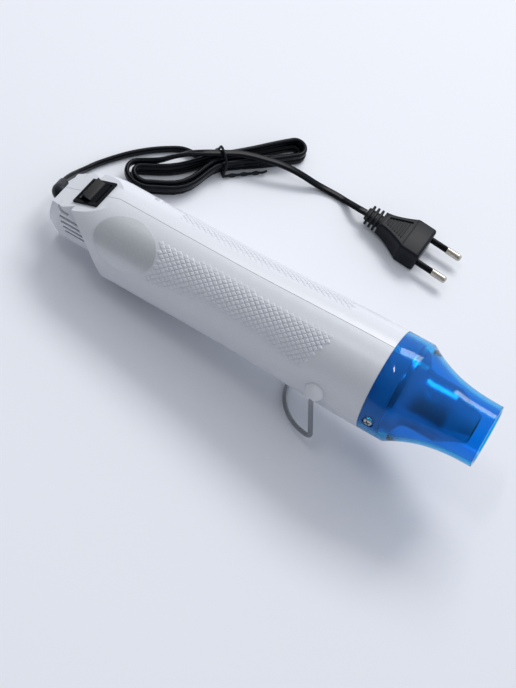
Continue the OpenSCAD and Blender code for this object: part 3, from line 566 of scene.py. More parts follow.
# Matt foil of the oval label: pale silver grey with a soft sheen.
FOIL_LABEL = Finish("matt_silver_foil", "#CCD0D5", "#D3D6DA", 0.32, size=1.1, relief=0.002,
                    metallic=0.3, spread=0.05)
# Pressed mica: tan, with glittering flakes.
PRESSED_MICA = Finish("pressed_mica", "#A98F63", "#C9B388", 0.4, grain=Grain.FLAKED, size=1.6,
                      relief=0.05, spread=0.15, tint_low=0.1, tint_high=0.8)
# Oxidised nickel chrome wire: dark grey brown.
HEATING_WIRE = Finish("oxidised_heating_wire", "#5B5550", "#3B3632", 0.5, size=0.6, relief=0.02,
                      metallic=0.9, spread=0.12)
# Tin on the terminals and on the can of the cut-out: plain pale grey.
TINNED = Finish("tinned_terminals", "#BFC1BE", "#A3A5A2", 0.34, size=0.5, relief=0.006, metallic=1.0)
# Moulded nylon: ivory, slightly waxy.
IVORY_NYLON = Finish("moulded_ivory_nylon", "#E4DFCE", "#D9D3BF", 0.46, size=0.9, relief=0.012)
# Enamelled copper wire, laid turn by turn.
COPPER_WINDING = Finish("enamelled_copper_winding", "#A9612F", "#6E3A1A", 0.32, grain=Grain.WOUND,
                        size=0.7, relief=0.08, metallic=0.85, tint_low=0.2, tint_high=0.8)
# Zinc plated motor can: mid grey with the fine lines of its drawing.
MOTOR_STEEL = Finish("drawn_motor_can", "#A9ADB0", "#8C9094", 0.33, grain=Grain.BRUSHED, size=0.6,
                     relief=0.008, metallic=1.0, spread=0.09)
# Sintered ferrite: near black, granular.
FERRITE = Finish("sintered_ferrite", "#2B2C2E", "#3A3B3E", 0.62, size=0.35, relief=0.03)
# Sintered bronze: dull warm brown, finely pitted.
BRONZE = Finish("sintered_bronze", "#9C7638", "#7C5A26", 0.4, size=0.4, relief=0.015, metallic=1.0)
# Glass fibre laminate: green with its cloth showing through.
LAMINATE = Finish("glass_fibre_laminate", "#1F5A31", "#2C7442", 0.4, grain=Grain.WOVEN, size=1.2,
                  relief=0.02, tint_low=0.0, tint_high=1.0)
# PVC insulation of the inner wires: even colour with a soft sheen.
BROWN_WIRE = Finish("brown_wire_pvc", "#5A3420", "#6B4029", 0.38, size=0.8, relief=0.01)
BLUE_WIRE = Finish("blue_wire_pvc", "#1E3F96", "#2A4FAC", 0.38, size=0.8, relief=0.01)

BY_SLOT: dict[str, Finish] = {
    "white_abs": WHITE_ABS, "blue_polycarbonate": BLUE_POLYCARBONATE, "screw_steel": SCREW_ZINC,
    "nozzle_steel": NOZZLE_STEEL, "mica": PRESSED_MICA, "heating_wire": HEATING_WIRE,
    "terminal_metal": TINNED, "ivory_nylon": IVORY_NYLON, "copper_winding": COPPER_WINDING,
    "motor_steel": MOTOR_STEEL, "ferrite": FERRITE, "black_plastic": GLOSS_BLACK, "bronze": BRONZE,
    "board_laminate": LAMINATE, "black_pvc": MOULDED_PVC, "stand_steel": DRAWN_WIRE,
    "silver_label": FOIL_LABEL, "brown_wire": BROWN_WIRE, "blue_wire": BLUE_WIRE,
    "pin_nickel": PIN_NICKEL}


def dress(piece: Piece, finish: Finish) -> None:
    """Gives a piece one finish all over."""
    piece.data.materials.clear()
    piece.data.materials.append(finish.material())


def seat(piece: Piece, finish: Finish, *nodes: str, body: Body = Body.HOUSING) -> Piece:
    """Dresses a finished piece and ties it to the frame.

    Args:
        piece: The piece, in its place.
        finish: Its finish.
        *nodes: CAD nodes that it is shown in place of.
        body: The body that it moves with.

    Returns:
        The piece.
    """
    dress(piece, finish)
    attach(piece, body.value)
    if nodes:
        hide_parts(*nodes)
    LOG.info("%s: %d faces, on %s", piece.name, len(piece.data.polygons), body.value)
    return piece


def show_fine(node: str, name: str, finish: Finish, angle: float) -> None:
    """Shows a CAD node by a smoothly shaded copy.

    Args:
        node: Name of the node.
        name: Name of the copy.
        finish: Its finish.
        angle: Least angle in degrees of an edge that stays crisp.
    """
    piece = fine_copy(node, name)
    weigh_normals(piece, angle)
    seat(piece, finish, node)


# Geometry node trees


class Recipe:
    """A geometry node tree with named inputs, run on a piece and settled into its mesh."""

    def __init__(self, name: str, inputs: Sequence[tuple[str, str, object]]) -> None:
        """Starts the tree.

        Args:
            name: Name of the tree.
            inputs: Name, socket type and default of each input between the geometry and the finish.
        """
        self.tree = bpy.data.node_groups.new(name, "GeometryNodeTree")
        face = self.tree.interface
        face.new_socket("Geometry", in_out="INPUT", socket_type="NodeSocketGeometry")
        face.new_socket("Geometry", in_out="OUTPUT", socket_type="NodeSocketGeometry")
        self.sockets: dict[str, str] = {}
        for label, kind, default in (*inputs, ("Finish", "NodeSocketMaterial", None)):
            made = face.new_socket(label, in_out="INPUT", socket_type=kind)
            if default is not None:
                made.default_value = default
            self.sockets[label] = made.identifier
        self.start = add(self.tree, "NodeGroupInput")

    def finish_tree(self, shape: bpy.types.NodeSocket) -> None:
        """Ends the tree in real geometry with its finish.

        Args:
            shape: Output that carries the geometry.
        """
        real = add(self.tree, "GeometryNodeRealizeInstances", {"Geometry": shape})
        painted = add(self.tree, "GeometryNodeSetMaterial", {
            "Geometry": real.outputs[0], "Material": self.start.outputs["Finish"]})
        add(self.tree, "NodeGroupOutput", {"Geometry": painted.outputs[0]})

    def run(self, piece: Piece, **values: object) -> Piece:
        """Runs the tree on a piece.

        Args:
            piece: The piece that carries the points or the path.
            **values: Input name, with underscores for spaces, to its value.

        Returns:
            The piece, with the result as its plain mesh.
        """
        step = piece.modifiers.new(self.tree.name, "NODES")
        step.node_group = self.tree
        for label, value in values.items():
            step[self.sockets[label.replace("_", " ")]] = value
        return settle(piece)


def repeat_recipe() -> Recipe:
    """Sets one pattern piece on each point, turned and sized by the point's own values.

    Returns:
        The tree.
    """
    recipe = Recipe("Repeat a piece on points", [
        ("Pattern piece", "NodeSocketObject", None), ("Size", "NodeSocketFloat", 1.0)])
    tree, start = recipe.tree, recipe.start
    pattern = add(tree, "GeometryNodeObjectInfo", {"Object": start.outputs["Pattern piece"]})
    turn = add(tree, "GeometryNodeInputNamedAttribute", {"Name": "turn"}, data_type="FLOAT_VECTOR")
    size = add(tree, "GeometryNodeInputNamedAttribute", {"Name": "size"}, data_type="FLOAT_VECTOR")
    scaled = add(tree, "ShaderNodeVectorMath", {
        0: size.outputs[0], "Scale": start.outputs["Size"]}, operation="SCALE")
    points = add(tree, "GeometryNodeMeshToPoints", {"Mesh": start.outputs["Geometry"]})
    copies = add(tree, "GeometryNodeInstanceOnPoints", {
        "Points": points.outputs[0], "Instance": pattern.outputs["Geometry"],
        "Rotation": turn.outputs[0], "Scale": scaled.outputs[0]})
    recipe.finish_tree(copies.outputs[0])
    return recipe


def wire_recipe() -> Recipe:
    """Draws a round wire along a path of edges.

    Returns:
        The tree.
    """
    recipe = Recipe("Draw a wire along a path", [
        ("Wire radius", "NodeSocketFloat", 1.0), ("Sides", "NodeSocketInt", 16)])
    tree, start = recipe.tree, recipe.start
    path = add(tree, "GeometryNodeMeshToCurve", {"Mesh": start.outputs["Geometry"]})
    ring = add(tree, "GeometryNodeCurvePrimitiveCircle", {
        "Resolution": start.outputs["Sides"], "Radius": start.outputs["Wire radius"]})
    wire = add(tree, "GeometryNodeCurveToMesh", {
        "Curve": path.outputs[0], "Profile Curve": ring.outputs[0], "Fill Caps": True})
    smooth = add(tree, "GeometryNodeSetShadeSmooth", {"Geometry": wire.outputs[0]})
    recipe.finish_tree(smooth.outputs[0])
    return recipe


@dataclass
class Workshop:
    """The node trees that several sub-assemblies share."""

    repeat: Recipe = field(default_factory=repeat_recipe)
    wire: Recipe = field(default_factory=wire_recipe)

    def wire_along(self, name: str, path: Sequence[Point], radius: float, finish: Finish,
                   place: Matrix, sides: int = 16, closed: bool = False) -> Piece:
        """Makes a round wire.

        Args:
            name: Name of the piece.
            path: Points that the wire follows, in millimetres.
            radius: Radius of the wire in millimetres.
            finish: Its finish.
            place: Frame of the path.
            sides: Sides of its section.
            closed: Whether its end joins its start.

        Returns:
            The wire, as a mesh.
        """
        edges = [(i, i + 1) for i in range(len(path) - 1)]
        if closed:
            edges.append((len(path) - 1, 0))
        piece = new_piece(name, path, [], place, edges)
        self.wire.run(piece, Wire_radius=radius * MM, Sides=sides, Finish=finish.material())
        tidy_normals(piece, DRAWN_DOUBLES)
        soften(piece, 50)
        return piece

    def repeat_on(self, name: str, pattern: Piece, spots: Sequence[Matrix], finish: Finish) -> Piece:
        """Repeats a pattern piece, drawn about the origin in metres, and removes the pattern.

        Args:
            name: Name of the result.
            pattern: The piece that is repeated.
            spots: Place, turn and size of each copy, in metres.
            finish: Finish of the copies.

        Returns:
            All copies as one mesh.
        """
        piece = new_piece(name, [m.translation for m in spots], [], Matrix.Identity(4))
        for label in ("turn", "size"):
            piece.data.attributes.new(label, "FLOAT_VECTOR", "POINT")
        for i, spot in enumerate(spots):
            piece.data.attributes["turn"].data[i].vector = spot.to_euler()
            piece.data.attributes["size"].data[i].vector = spot.to_scale()
        self.repeat.run(piece, Pattern_piece=pattern, Size=1.0, Finish=finish.material())
        bpy.data.objects.remove(pattern)
        return piece


# The cord and what is on it


@dataclass
class MainsCord:
    """Flat two-core cord: out of the boot, into a tied hank beside the tool and on to the plug.

    Points are in millimetres in the frame of the part, and repeat the route of the CAD solids.
    """

    width: float = 4.2
    thickness: float = 2.5
    hank_at: tuple[float, float] = (-77.0, 87.0)
    hank_turned: float = 52.7
    run: float = 45.0
    fold_left: float = 4.2
    fold_right: float = 2.2
    loop_step: float = 3.5
    waist_half: float = 0.3
    turns: float = 3.0
    first: float = 0.115
    exit: tuple[float, float, float] = (-128.911, 11.1393, 14.9389)
    lead: tuple[Point, ...] = (
        (-129.915, 14.587, 13.177, 0), (-130.4, 21, 9.6, 0), (-130.3, 28, 5.6, 0),
        (-129.3, 34.8, 3, 0), (-127.4, 41.3, 2.2, 0), (-122.6, 51.2, 2.2, 0), (-117.2, 60.5, 2.2, 0),
        (-111, 69, 2.2, 0), (-104.2, 76.4, 2.2, 0), (-97, 82, 2.3, 0), (-85.58, 83.98, 3.06, 0))
    over_hank: tuple[Point, ...] = (
        (-35, 4.6, 8.4, 8), (-27, 4, 10.4, 30), (-18, 3.2, 12.2, 65), (-9, 2, 12.1, 88),
        (0, 0.6, 11.5, 90), (9, -1.2, 11.3, 90), (16, -3.8, 11, 90), (23, -7.4, 10.7, 90),
        (30, -11.2, 10.2, 90), (36, -14.8, 8.9, 90), (41.5, -18.4, 7, 90), (46.5, -21.8, 4.8, 90))
    to_plug: tuple[Point, ...] = (
        (-27.2, 112.4, 3, 90), (-21.6, 114, 1.7, 90), (-15.8, 114.9, 1.35, 90), (-10, 114.6, 2, 90),
        (-5.5, 113.1, 4.2, 90), (-0.5, 111.5, 6.47, 90), (3.9, 111.5, 6.87, 90))

    def coil(self, v: float) -> float:
        """Distance of a turn from the innermost one."""
        return self.loop_step * abs(self.turns / 2 - v)

    def run_offset(self, v: float, s: float) -> float:
        """Distance of a straight run from the hank's middle line.

        Args:
            v: Turns from the hank's start.
            s: Way along the run from the waist, in millimetres.

        Returns:
            The distance in millimetres.
        """
        fold = self.fold_right if s > 0 else self.fold_left
        open_up = swell(min(1.0, abs(s) / self.run))
        return self.coil(v) + self.waist_half + (fold - self.waist_half) * open_up

    @staticmethod
    def wave(s: float, reach: float) -> float:
        """One soft wave on the hank's left side."""
        return (1 - math.cos(math.tau * s / reach)) / 2 if -reach < s < 0 else 0.0

    def in_hank(self, p: Point) -> list[float]:
        """Puts a point of the hank's own frame on the table."""
        c, s = math.cos(math.radians(self.hank_turned)), math.sin(math.radians(self.hank_turned))
        return [self.hank_at[0] + p[0] * c - p[1] * s, self.hank_at[1] + p[0] * s + p[1] * c, p[2], p[3]]

    def hank_point(self, v: float) -> list[float]:
        """Point of the hank after v turns.

        Args:
            v: Turns from the hank's start.

        Returns:
            The point on the table, with its roll.
        """
        quarter, t = divmod(4 * v + 1e-6, 1.0)
        s = self.run * (2 * t - 1)
        left_bulge, left_shift, shift_reach = 3.0, 4.5, 60.0
        if quarter % 4 == 0:
            flat = (s, self.run_offset(v, s))
        elif quarter % 4 == 1:
            r = self.fold_right + self.coil(v)
            flat = (self.run + r * math.sin(math.pi * t), r * math.cos(math.pi * t))
        elif quarter % 4 == 2:
            flat = (-s, -self.run_offset(v, -s) - left_bulge * self.wave(-s, self.run))
        else:
            r = self.fold_left + self.coil(v)
            flat = (-self.run - r * math.sin(math.pi * t), -r * math.cos(math.pi * t))
        climb, tie_room, waist_len = 0.11, 0.9, 24.0
        layer = (self.width + 0.45) * swell(min(1.0, max(0.0, (v - self.turns / 2) / climb)))
        lift = tie_room * swell(max(0.0, 1 - abs(flat[0]) / waist_len))
        sideways = flat[1] - left_shift * self.wave(flat[0], shift_reach)
        return self.in_hank((flat[0], sideways, self.width / 2 + 0.02 + layer + lift, 0))

    def route(self) -> list[list[float]]:
        """Whole centre line from the boot to the plug.

        Returns:
            Points of x, y, z and roll.
        """
        rings = 72
        count = math.ceil((self.turns - self.first) * rings)
        hank = [self.hank_point(self.first + (self.turns - self.first) * i / count)
                for i in range(count + 1)]
        lead = catmull([[*self.exit, 0], *self.lead, hank[0]], 6)
        tail = catmull([hank[-1], *[self.in_hank(p) for p in self.over_hank], *self.to_plug], 6)
        whole = lead[:-1] + hank + tail[1:]
        kept = [whole[0]]
        for p in whole[1:]:
            if math.dist(p[:3], kept[-1][:3]) > 0.4:
                kept.append(p)
        return kept

    def section(self) -> list[tuple[float, float]]:
        """Flat section with round edges, a little waisted between its two cores.

        Returns:
            Points across the cord.
        """
        r, reach = self.thickness / 2, (self.width - self.thickness) / 2
        half = [(r * math.cos(a), reach + r * math.sin(a)) for a in np.linspace(0, math.pi, 7)]
        other = [(-x, -y) for x, y in half]
        waist = 0.88 * r
        return [(float(x), float(y)) for x, y in [*half, (-waist, 0.0), *other, (waist, 0.0)]]

    def build(self, riders: Sequence[Piece]) -> Piece:
        """Args:
            riders: The pieces on the cord; not used.

        Returns:
            The cord.
        """
        route = self.route()
        section = self.section()
        vertices, faces = sweep(route, section)
        cord = new_piece("mains_cord", vertices, faces, ON_TABLE)
        along = np.concatenate([[0.0], np.cumsum([math.dist(a[:3], b[:3])
                                                  for a, b in zip(route, route[1:])])])
        uv = cord.data.uv_layers.new(name="along the cord")
        girth = 2 * (self.width + self.thickness)
        for loop in cord.data.loops:
            ring, k = divmod(loop.vertex_index, len(section))
            uv.data[loop.index].uv = (along[ring] * MM, girth * MM * k / len(section))
        tidy_normals(cord)
        soften(cord, 60)
        seat(cord, CORD_PVC, "cord_lead", "cord_hank", "cord_tail")
        return cord


@dataclass
class WireTie:
    """Plastic covered wire round the hank's waist, its two ends twisted aside."""

    radius: float = 0.7
    near: float = -6.0
    far: float = 7.0
    low: float = 0.84
    step: tuple[float, float] = (7.5, 5.6)
    shoulder: tuple[float, float] = (5.0, 10.1)
    high: float = 13.0
    top: tuple[float, float] = (-2.2, 3.4)
    corner: float = 1.5
    ends: tuple[tuple[float, float], ...] = ((21.0, 0.0), (25.0, 1.3))
    end_spacing: float = 0.4
    end_slope: float = 0.07
    sway: float = 0.35
    sway_len: float = 1.1

    def twist(self, k: int) -> list[Point]:
        """Wavy way of one of the tie's ends.

        Args:
            k: 0 for the lower end, 1 for the upper.

        Returns:
            Points in the hank's frame.
        """
        length, rise = self.ends[k]
        start = self.near - self.radius - 0.6 - self.end_spacing * k
        path = []
        for x in np.linspace(-0.4, length, 34):
            phase = x / self.sway_len + math.pi * k
            lift = 0.25 * k * math.cos(phase)
            path.append((x, start - self.end_slope * x + self.sway * math.sin(phase), 0.82 + rise + lift))
        return path

    def build(self, shop: Workshop, cord: MainsCord) -> Piece:
        """Builds the tie where the hank's waist is.

        Args:
            shop: The shared node trees.
            cord: The cord that it holds.

        Returns:
            The tie.
        """
        r, floor = self.radius, self.low - self.radius
        left, right = self.near - r, self.far + r
        corners = [(left, floor + self.corner), (left + self.corner, floor + r),
                   (right - self.corner, floor + r), (right, floor + self.corner), self.step,
                   self.shoulder, (self.top[1], self.high + r), (self.top[0], self.high + r),
                   (left, self.shoulder[1])]
        loop = catmull([(0.0, y, z) for y, z in [*corners, corners[0]]], 4)[:-1]
        parts = [shop.wire_along(name, [cord.in_hank((*p, 0))[:3] for p in path], r, MOULDED_PVC,
                                 ON_TABLE, 12, closed=name == "tie_ring")
                 for name, path in (("tie_ring", loop), ("tie_end_low", self.twist(0)),
                                    ("tie_end_high", self.twist(1)))]
        return seat(join("wire_tie", parts), MOULDED_PVC, "cord_tie")


def join(name: str, parts: Sequence[Piece]) -> Piece:
    """Joins meshes that sit at the origin into one piece.

    Args:
        name: Name of the piece.
        parts: The meshes, which are removed.

    Returns:
        The piece.
    """
    piece = in_scene(name, bpy.data.meshes.new(name))
    with reshaped(piece.data) as shape:
        for part in parts:
            shape.from_mesh(part.data)
    for part in parts:
        bpy.data.objects.remove(part)
    return piece


def rounded_box(name: str, size: Point, rounding: float) -> Piece:
    """Box about the origin in millimetres with rounded edges, as a pattern piece.

    Args:
        name: Name of the box.
        size: Its lengths along x, y and z.
        rounding: Width of its rounded edges.

    Returns:
        The box.
    """
    x, y, z = (s / 2 for s in size)
    corners = [(a, b * y, c * z) for a in (-x, x) for b, c in ((-1, -1), (1, -1), (1, 1), (-1, 1))]
    piece = new_piece(name, corners, tube_faces(2, 4), ON_TABLE)
    tidy_normals(piece)
    round_edges(piece, rounding)
    return piece


@dataclass
class Plug:
    """Flat two-pin plug with part-sleeved pins, lying on the table, x towards its pins."""

    at: tuple[float, float, float] = (41.8, 111.5, 6.87)
    width: float = 23.4
    thickness: float = 13.7
    block: float = 11.2
    flare: float = 15.8
    neck_width: float = 11.0
    neck_thickness: float = 9.2
    pin_gap: float = 18.6
    pin_len: float = 19.0
    pin_r: float = 2.0
    pin_tip: float = 1.4
    core_r: float = 1.25
    sleeve: float = 10.0
    sleeve_r: float = 1.75

    def place(self) -> Matrix:
        """Frame of the plug."""
        return ON_TABLE @ Matrix.Translation(self.at)

    def half_thickness(self, x: float) -> float:
        """Half of the body's thickness at x."""
        return between([(-28, self.neck_thickness / 2), (-self.block, self.thickness / 2),
                        (0, self.thickness / 2)], x)

    def half_width(self, x: float) -> float:
        """Half of the body's width at x."""
        t = min(1.0, max(0.0, (x + self.block + self.flare) / self.flare))
        return self.neck_width / 2 + (self.width - self.neck_width) / 2 * t ** 1.5

    def outline(self, half_w: float, half_t: float, corner: float) -> list[tuple[float, float]]:
        """Rounded rectangle across the plug.

        Args:
            half_w: Half of its width.
            half_t: Half of its thickness.
            corner: Radius of its corners.

        Returns:
            Points of y and z.
        """
        steps = np.linspace(0, math.pi / 2, 5)
        ring = []
        for turn, (sy, sz) in enumerate(((1, 1), (-1, 1), (-1, -1), (1, -1))):
            for a in steps:
                b = a + turn * math.pi / 2
                ring.append((sy * (half_w - corner) + corner * math.cos(b),
                             sz * (half_t - corner) + corner * math.sin(b)))
        return ring

    def body(self) -> Piece:
        """Moulded body: a block for the pins and a flare with a recess in both faces.

        Returns:
            The body without its neck and its ribs.
        """
        half_w, half_t = self.width / 2, self.thickness / 2
        flare_corner, block_corner, front_round, front_x = 1.3, 1.2, 1.6, 0.1
        groove = ((-0.5, 0.0, 0.1), (-0.3, 0.02, 0.22), (0.1, 0.02, 0.22))
        stations = [(x, self.half_width(x), self.half_thickness(x), flare_corner)
                    for x in np.linspace(-self.block - self.flare, -self.block - 0.7, 16)]
        stations += [(x - self.block, half_w - in_w, half_t - in_t, flare_corner)
                     for x, in_w, in_t in groove]
        stations += [(x, half_w, half_t, block_corner) for x in (0.3 - self.block, -8, -5, -2.2)]
        for a in np.radians(np.linspace(15, 90, 5)):
            shrink = block_corner * (1 - math.cos(a))
            stations.append((front_x - front_round * (1 - math.sin(a)), half_w - shrink, half_t - shrink,
                             block_corner))
        vertices = [(x, y, z) for x, w, t, corner in stations for y, z in self.outline(w, t, corner)]
        faces = tube_faces(len(stations), len(vertices) // len(stations))
        moulding = new_piece("plug_block", vertices, faces, self.place())
        tidy_normals(moulding, DRAWN_DOUBLES)
        carve(moulding, [self.recess(side) for side in (-1, 1)])
        soften(moulding, 34)
        return moulding

    def recess(self, side: int) -> Piece:
        """Trapezoid that is cut into one face, for the finger.

        Args:
            side: 1 for the upper face, -1 for the lower.

        Returns:
            The cutter.
        """
        depth, back, front, half_back, half_front = 0.9, -25.2, -12.9, 2.9, 7.6
        low = [(x, y, side * (self.half_thickness(x) - depth)) for x, y in
               ((back, -half_back), (back, half_back), (front, half_front), (front, -half_front))]
        high = [(x, y, z + side * 4) for x, y, z in low]
        cutter = new_piece("recess", low + high, tube_faces(2, 4), self.place())
        tidy_normals(cutter)
        return cutter

    def ribs(self, shop: Workshop) -> list[Piece]:
        """Grip ribs in the recesses, and the rings of the strain relief.

        Args:
            shop: The shared node trees.

        Returns:
            The ribs and the rings.
        """
        spots, slope = [], math.atan2(self.thickness / 2 - self.neck_thickness / 2, 28 - self.block)
        for side in (-1, 1):
            for x in np.linspace(-23.9, -14.3, 7):
                half = between([(-25.2, 2.9), (-12.9, 7.6)], x) - 0.3
                at = Matrix.Translation((x, 0, side * (self.half_thickness(x) - 0.75)))
                spots.append(self.place() @ at @ Matrix.Rotation(-side * slope, 4, "Y")
                             @ Matrix.Diagonal((1, 2 * half, 1, 1)))
        grip = shop.repeat_on("plug_grip", rounded_box("rib", (0.75, 1.0, 0.9), 0.16),
                              [in_metres(m) for m in spots], MOULDED_PVC)
        rings = []
        for k in range(4):
            at = Matrix.Translation((-35.45 + 2.6 * k, 0, 0))
            grown = Matrix.Diagonal((1, (9.4 + 0.4 * k) / 9, (7.8 + 0.3 * k) / 8, 1))
            rings.append(self.place() @ at @ grown)
        relief = shop.repeat_on("plug_rings", rounded_box("ring", (1.5, 9.0, 8.0), 0.5),
                                [in_metres(m) for m in rings], MOULDED_PVC)
        return [grip, relief]

    def build(self, shop: Workshop) -> list[Piece]:
        """Builds the plug.

        Args:
            shop: The shared node trees.

        Returns:
            Its body, pins and sleeves.
        """
        neck = rounded_box("neck", (10.9, 6.4, 5.2), 0.9)
        neck.data.transform(self.place() @ Matrix.Translation((-32.2, 0, 0)) @ Matrix.Scale(1 / MM, 4))
        body = join("plug_moulding", [self.body(), neck, *self.ribs(shop)])
        soften(body, 34)
        seat(body, MOULDED_PVC, "plug_body")
        pins, sleeves = [], []
        for side in (-1, 1):
            at = self.place() @ Matrix.Translation((0, side * self.pin_gap / 2, 0))
            tip = [(self.pin_len - self.pin_tip * (1 - math.sin(a)), self.pin_r - 1.3 * (1 - math.cos(a)))
                   for a in np.linspace(0, math.pi / 2, 7)]
            metal = [(-8, 0), (-8, self.core_r), (self.sleeve, self.core_r),
                     (self.sleeve + 0.05, self.pin_r), *tip, (self.pin_len, 0)]
            pins.append(turned_piece("pin", metal, 40, at, closed=False))
            inner = self.core_r + 0.02
            wrap = [(0.02, inner), (0.02, self.sleeve_r), (self.sleeve - 0.2, self.sleeve_r),
                    (self.sleeve, self.sleeve_r - 0.1), (self.sleeve, inner)]
            sleeves.append(turned_piece("sleeve", wrap, 40, at))
        pair, wraps = join("plug_pin_pair", pins), join("plug_pin_sleeves", sleeves)
        soften(pair, 40)
        soften(wraps, 40)
        seat(pair, PIN_NICKEL, "plug_pins")
        seat(wraps, GLOSS_BLACK, "plug_sleeves")
        return [body, pair, wraps]


def in_metres(m: Matrix) -> Matrix:
    """Keeps a placed matrix's place in metres, and its turn and size without the unit's scale."""
    return Matrix.LocRotScale(m.translation, m.to_quaternion(), m.to_scale() / MM)


# The housing


@dataclass
class Housing:
    """Two moulded halves that meet in a fine seam, with a diamond grip on both sides."""

    seam: float = 0.13
    pitch_x: float = 3.5
    pitch_round: float = 2.8
    grip_height: float = 0.46
    label_x: float = -138.8
    label_turn: float = 47.0
    label_half: tuple[float, float] = (17.0, 13.4)
    grip_top: tuple[tuple[float, float], ...] = ((-126, 20), (-110, 18.5), (-80, 18), (-26, 20))
    grip_low: tuple[tuple[float, float], ...] = (
        (-126, 79), (-118, 77), (-92, 63), (-63, 65), (-36, 75), (-26, 79))

    def in_grip(self, x: float, turn: float, label: bool) -> bool:
        """Whether a spot on the handle, turn degrees down from the top, lies in the grip.

        Args:
            x: Place along the tool.
            turn: Degrees down from the top.
            label: Whether the oval label takes its place out of the grip.

        Returns:
            Whether a diamond stands there.
        """
        front = -26.6 - 10.1 * (turn - 26) / 53
        if not -124.5 < x < front - 1.0:
            return False
        if not between(self.grip_top, x) + 2 < turn < between(self.grip_low, x) - 2:
            return False
        across = math.radians(turn - self.label_turn) * TOOL.grip_r
        inside = math.hypot((x - self.label_x) / (self.label_half[0] + 1.4),
                            across / (self.label_half[1] + 1.4))
        return not label or inside > 1

    def fade(self, x: float, turn: float) -> float:
        """Height of a diamond as a share of the full one: the grip runs out towards its edges."""
        top, low = between(self.grip_top, x), between(self.grip_low, x)
        return 0.3 + 0.7 * swell(min(1.0, max(0.0, min(turn - top - 2, low - turn - 2) / 9)))

    def diamond(self) -> Piece:
        """One raised diamond of the grip, a low pillow about the origin with z outwards.

        Returns:
            The pattern piece.
        """
        hx, hy, sunk = self.pitch_x / 2 * 0.985, self.pitch_round / 2 * 0.985, -0.35
        levels = ((1.0, sunk), (1.0, 0.0), (0.8, self.grip_height * 0.62), (0.46, self.grip_height))
        tips = ((1, 0), (0, 1), (-1, 0), (0, -1))
        rings = [(hx * k * c, hy * k * d, z) for k, z in levels for c, d in tips]
        piece = new_piece("diamond", rings, tube_faces(len(levels), len(tips)), ON_TABLE)
        tidy_normals(piece)
        return piece

    def grip(self, shop: Workshop, side: int) -> Piece:
        """Diamonds over one side, side -1 being the label's.

        Args:
            shop: The shared node trees.
            side: -1 for the label's side, 1 for the far one.

        Returns:
            The diamonds.
        """
        spots, rise = [], math.atan2(TOOL.front_r - TOOL.grip_r, TOOL.swell_len)
        for i in range(60):
            x = -25 - i * self.pitch_x / 2
            step = math.degrees(self.pitch_round / 2 / TOOL.handle_r(x))
            for j in range(60):
                turn = 17 + j * step
                if (i + j) % 2 or not self.in_grip(x, turn, side < 0):
                    continue
                about = Matrix.Rotation(-side * math.radians(turn), 4, "X")
                lean = -rise * (1 if x > -TOOL.swell_len else 0)
                spots.append(in_metres(POSE.matrix() @ about
                                       @ Matrix.Translation((x, 0, TOOL.handle_r(x)))
                                       @ Matrix.Rotation(lean, 4, "Y")
                                       @ Matrix.Diagonal((1, 1, self.fade(x, turn), 1))))
        name = "grip_diamonds_left" if side > 0 else "grip_diamonds_right"
        piece = shop.repeat_on(name, self.diamond(), spots, WHITE_ABS)
        return seat(piece, WHITE_ABS)

    def half(self, node: str, side: int) -> Piece:
        """One half of the housing, drawn back a little from the other for the seam.

        Args:
            node: Its CAD node.
            side: -1 for the right half, 1 for the left.

        Returns:
            The half.
        """
        piece = fine_copy(node, node.replace("housing", "shell"))
        for vertex in piece.data.vertices:
            if abs(vertex.co.y) < 2e-6:
                vertex.co.y = side * self.seam * MM
        weigh_normals(piece, 28)
        return seat(piece, WHITE_ABS, node)

    def build(self, shop: Workshop) -> None:
        """Builds the halves, the grips and the label.

        Args:
            shop: The shared node trees.
        """
        self.half("housing_right", -1)
        self.half("housing_left", 1)
        for side in (-1, 1):
            self.grip(shop, side)
        show_fine("rating_label", "bare_label", FOIL_LABEL, 40)


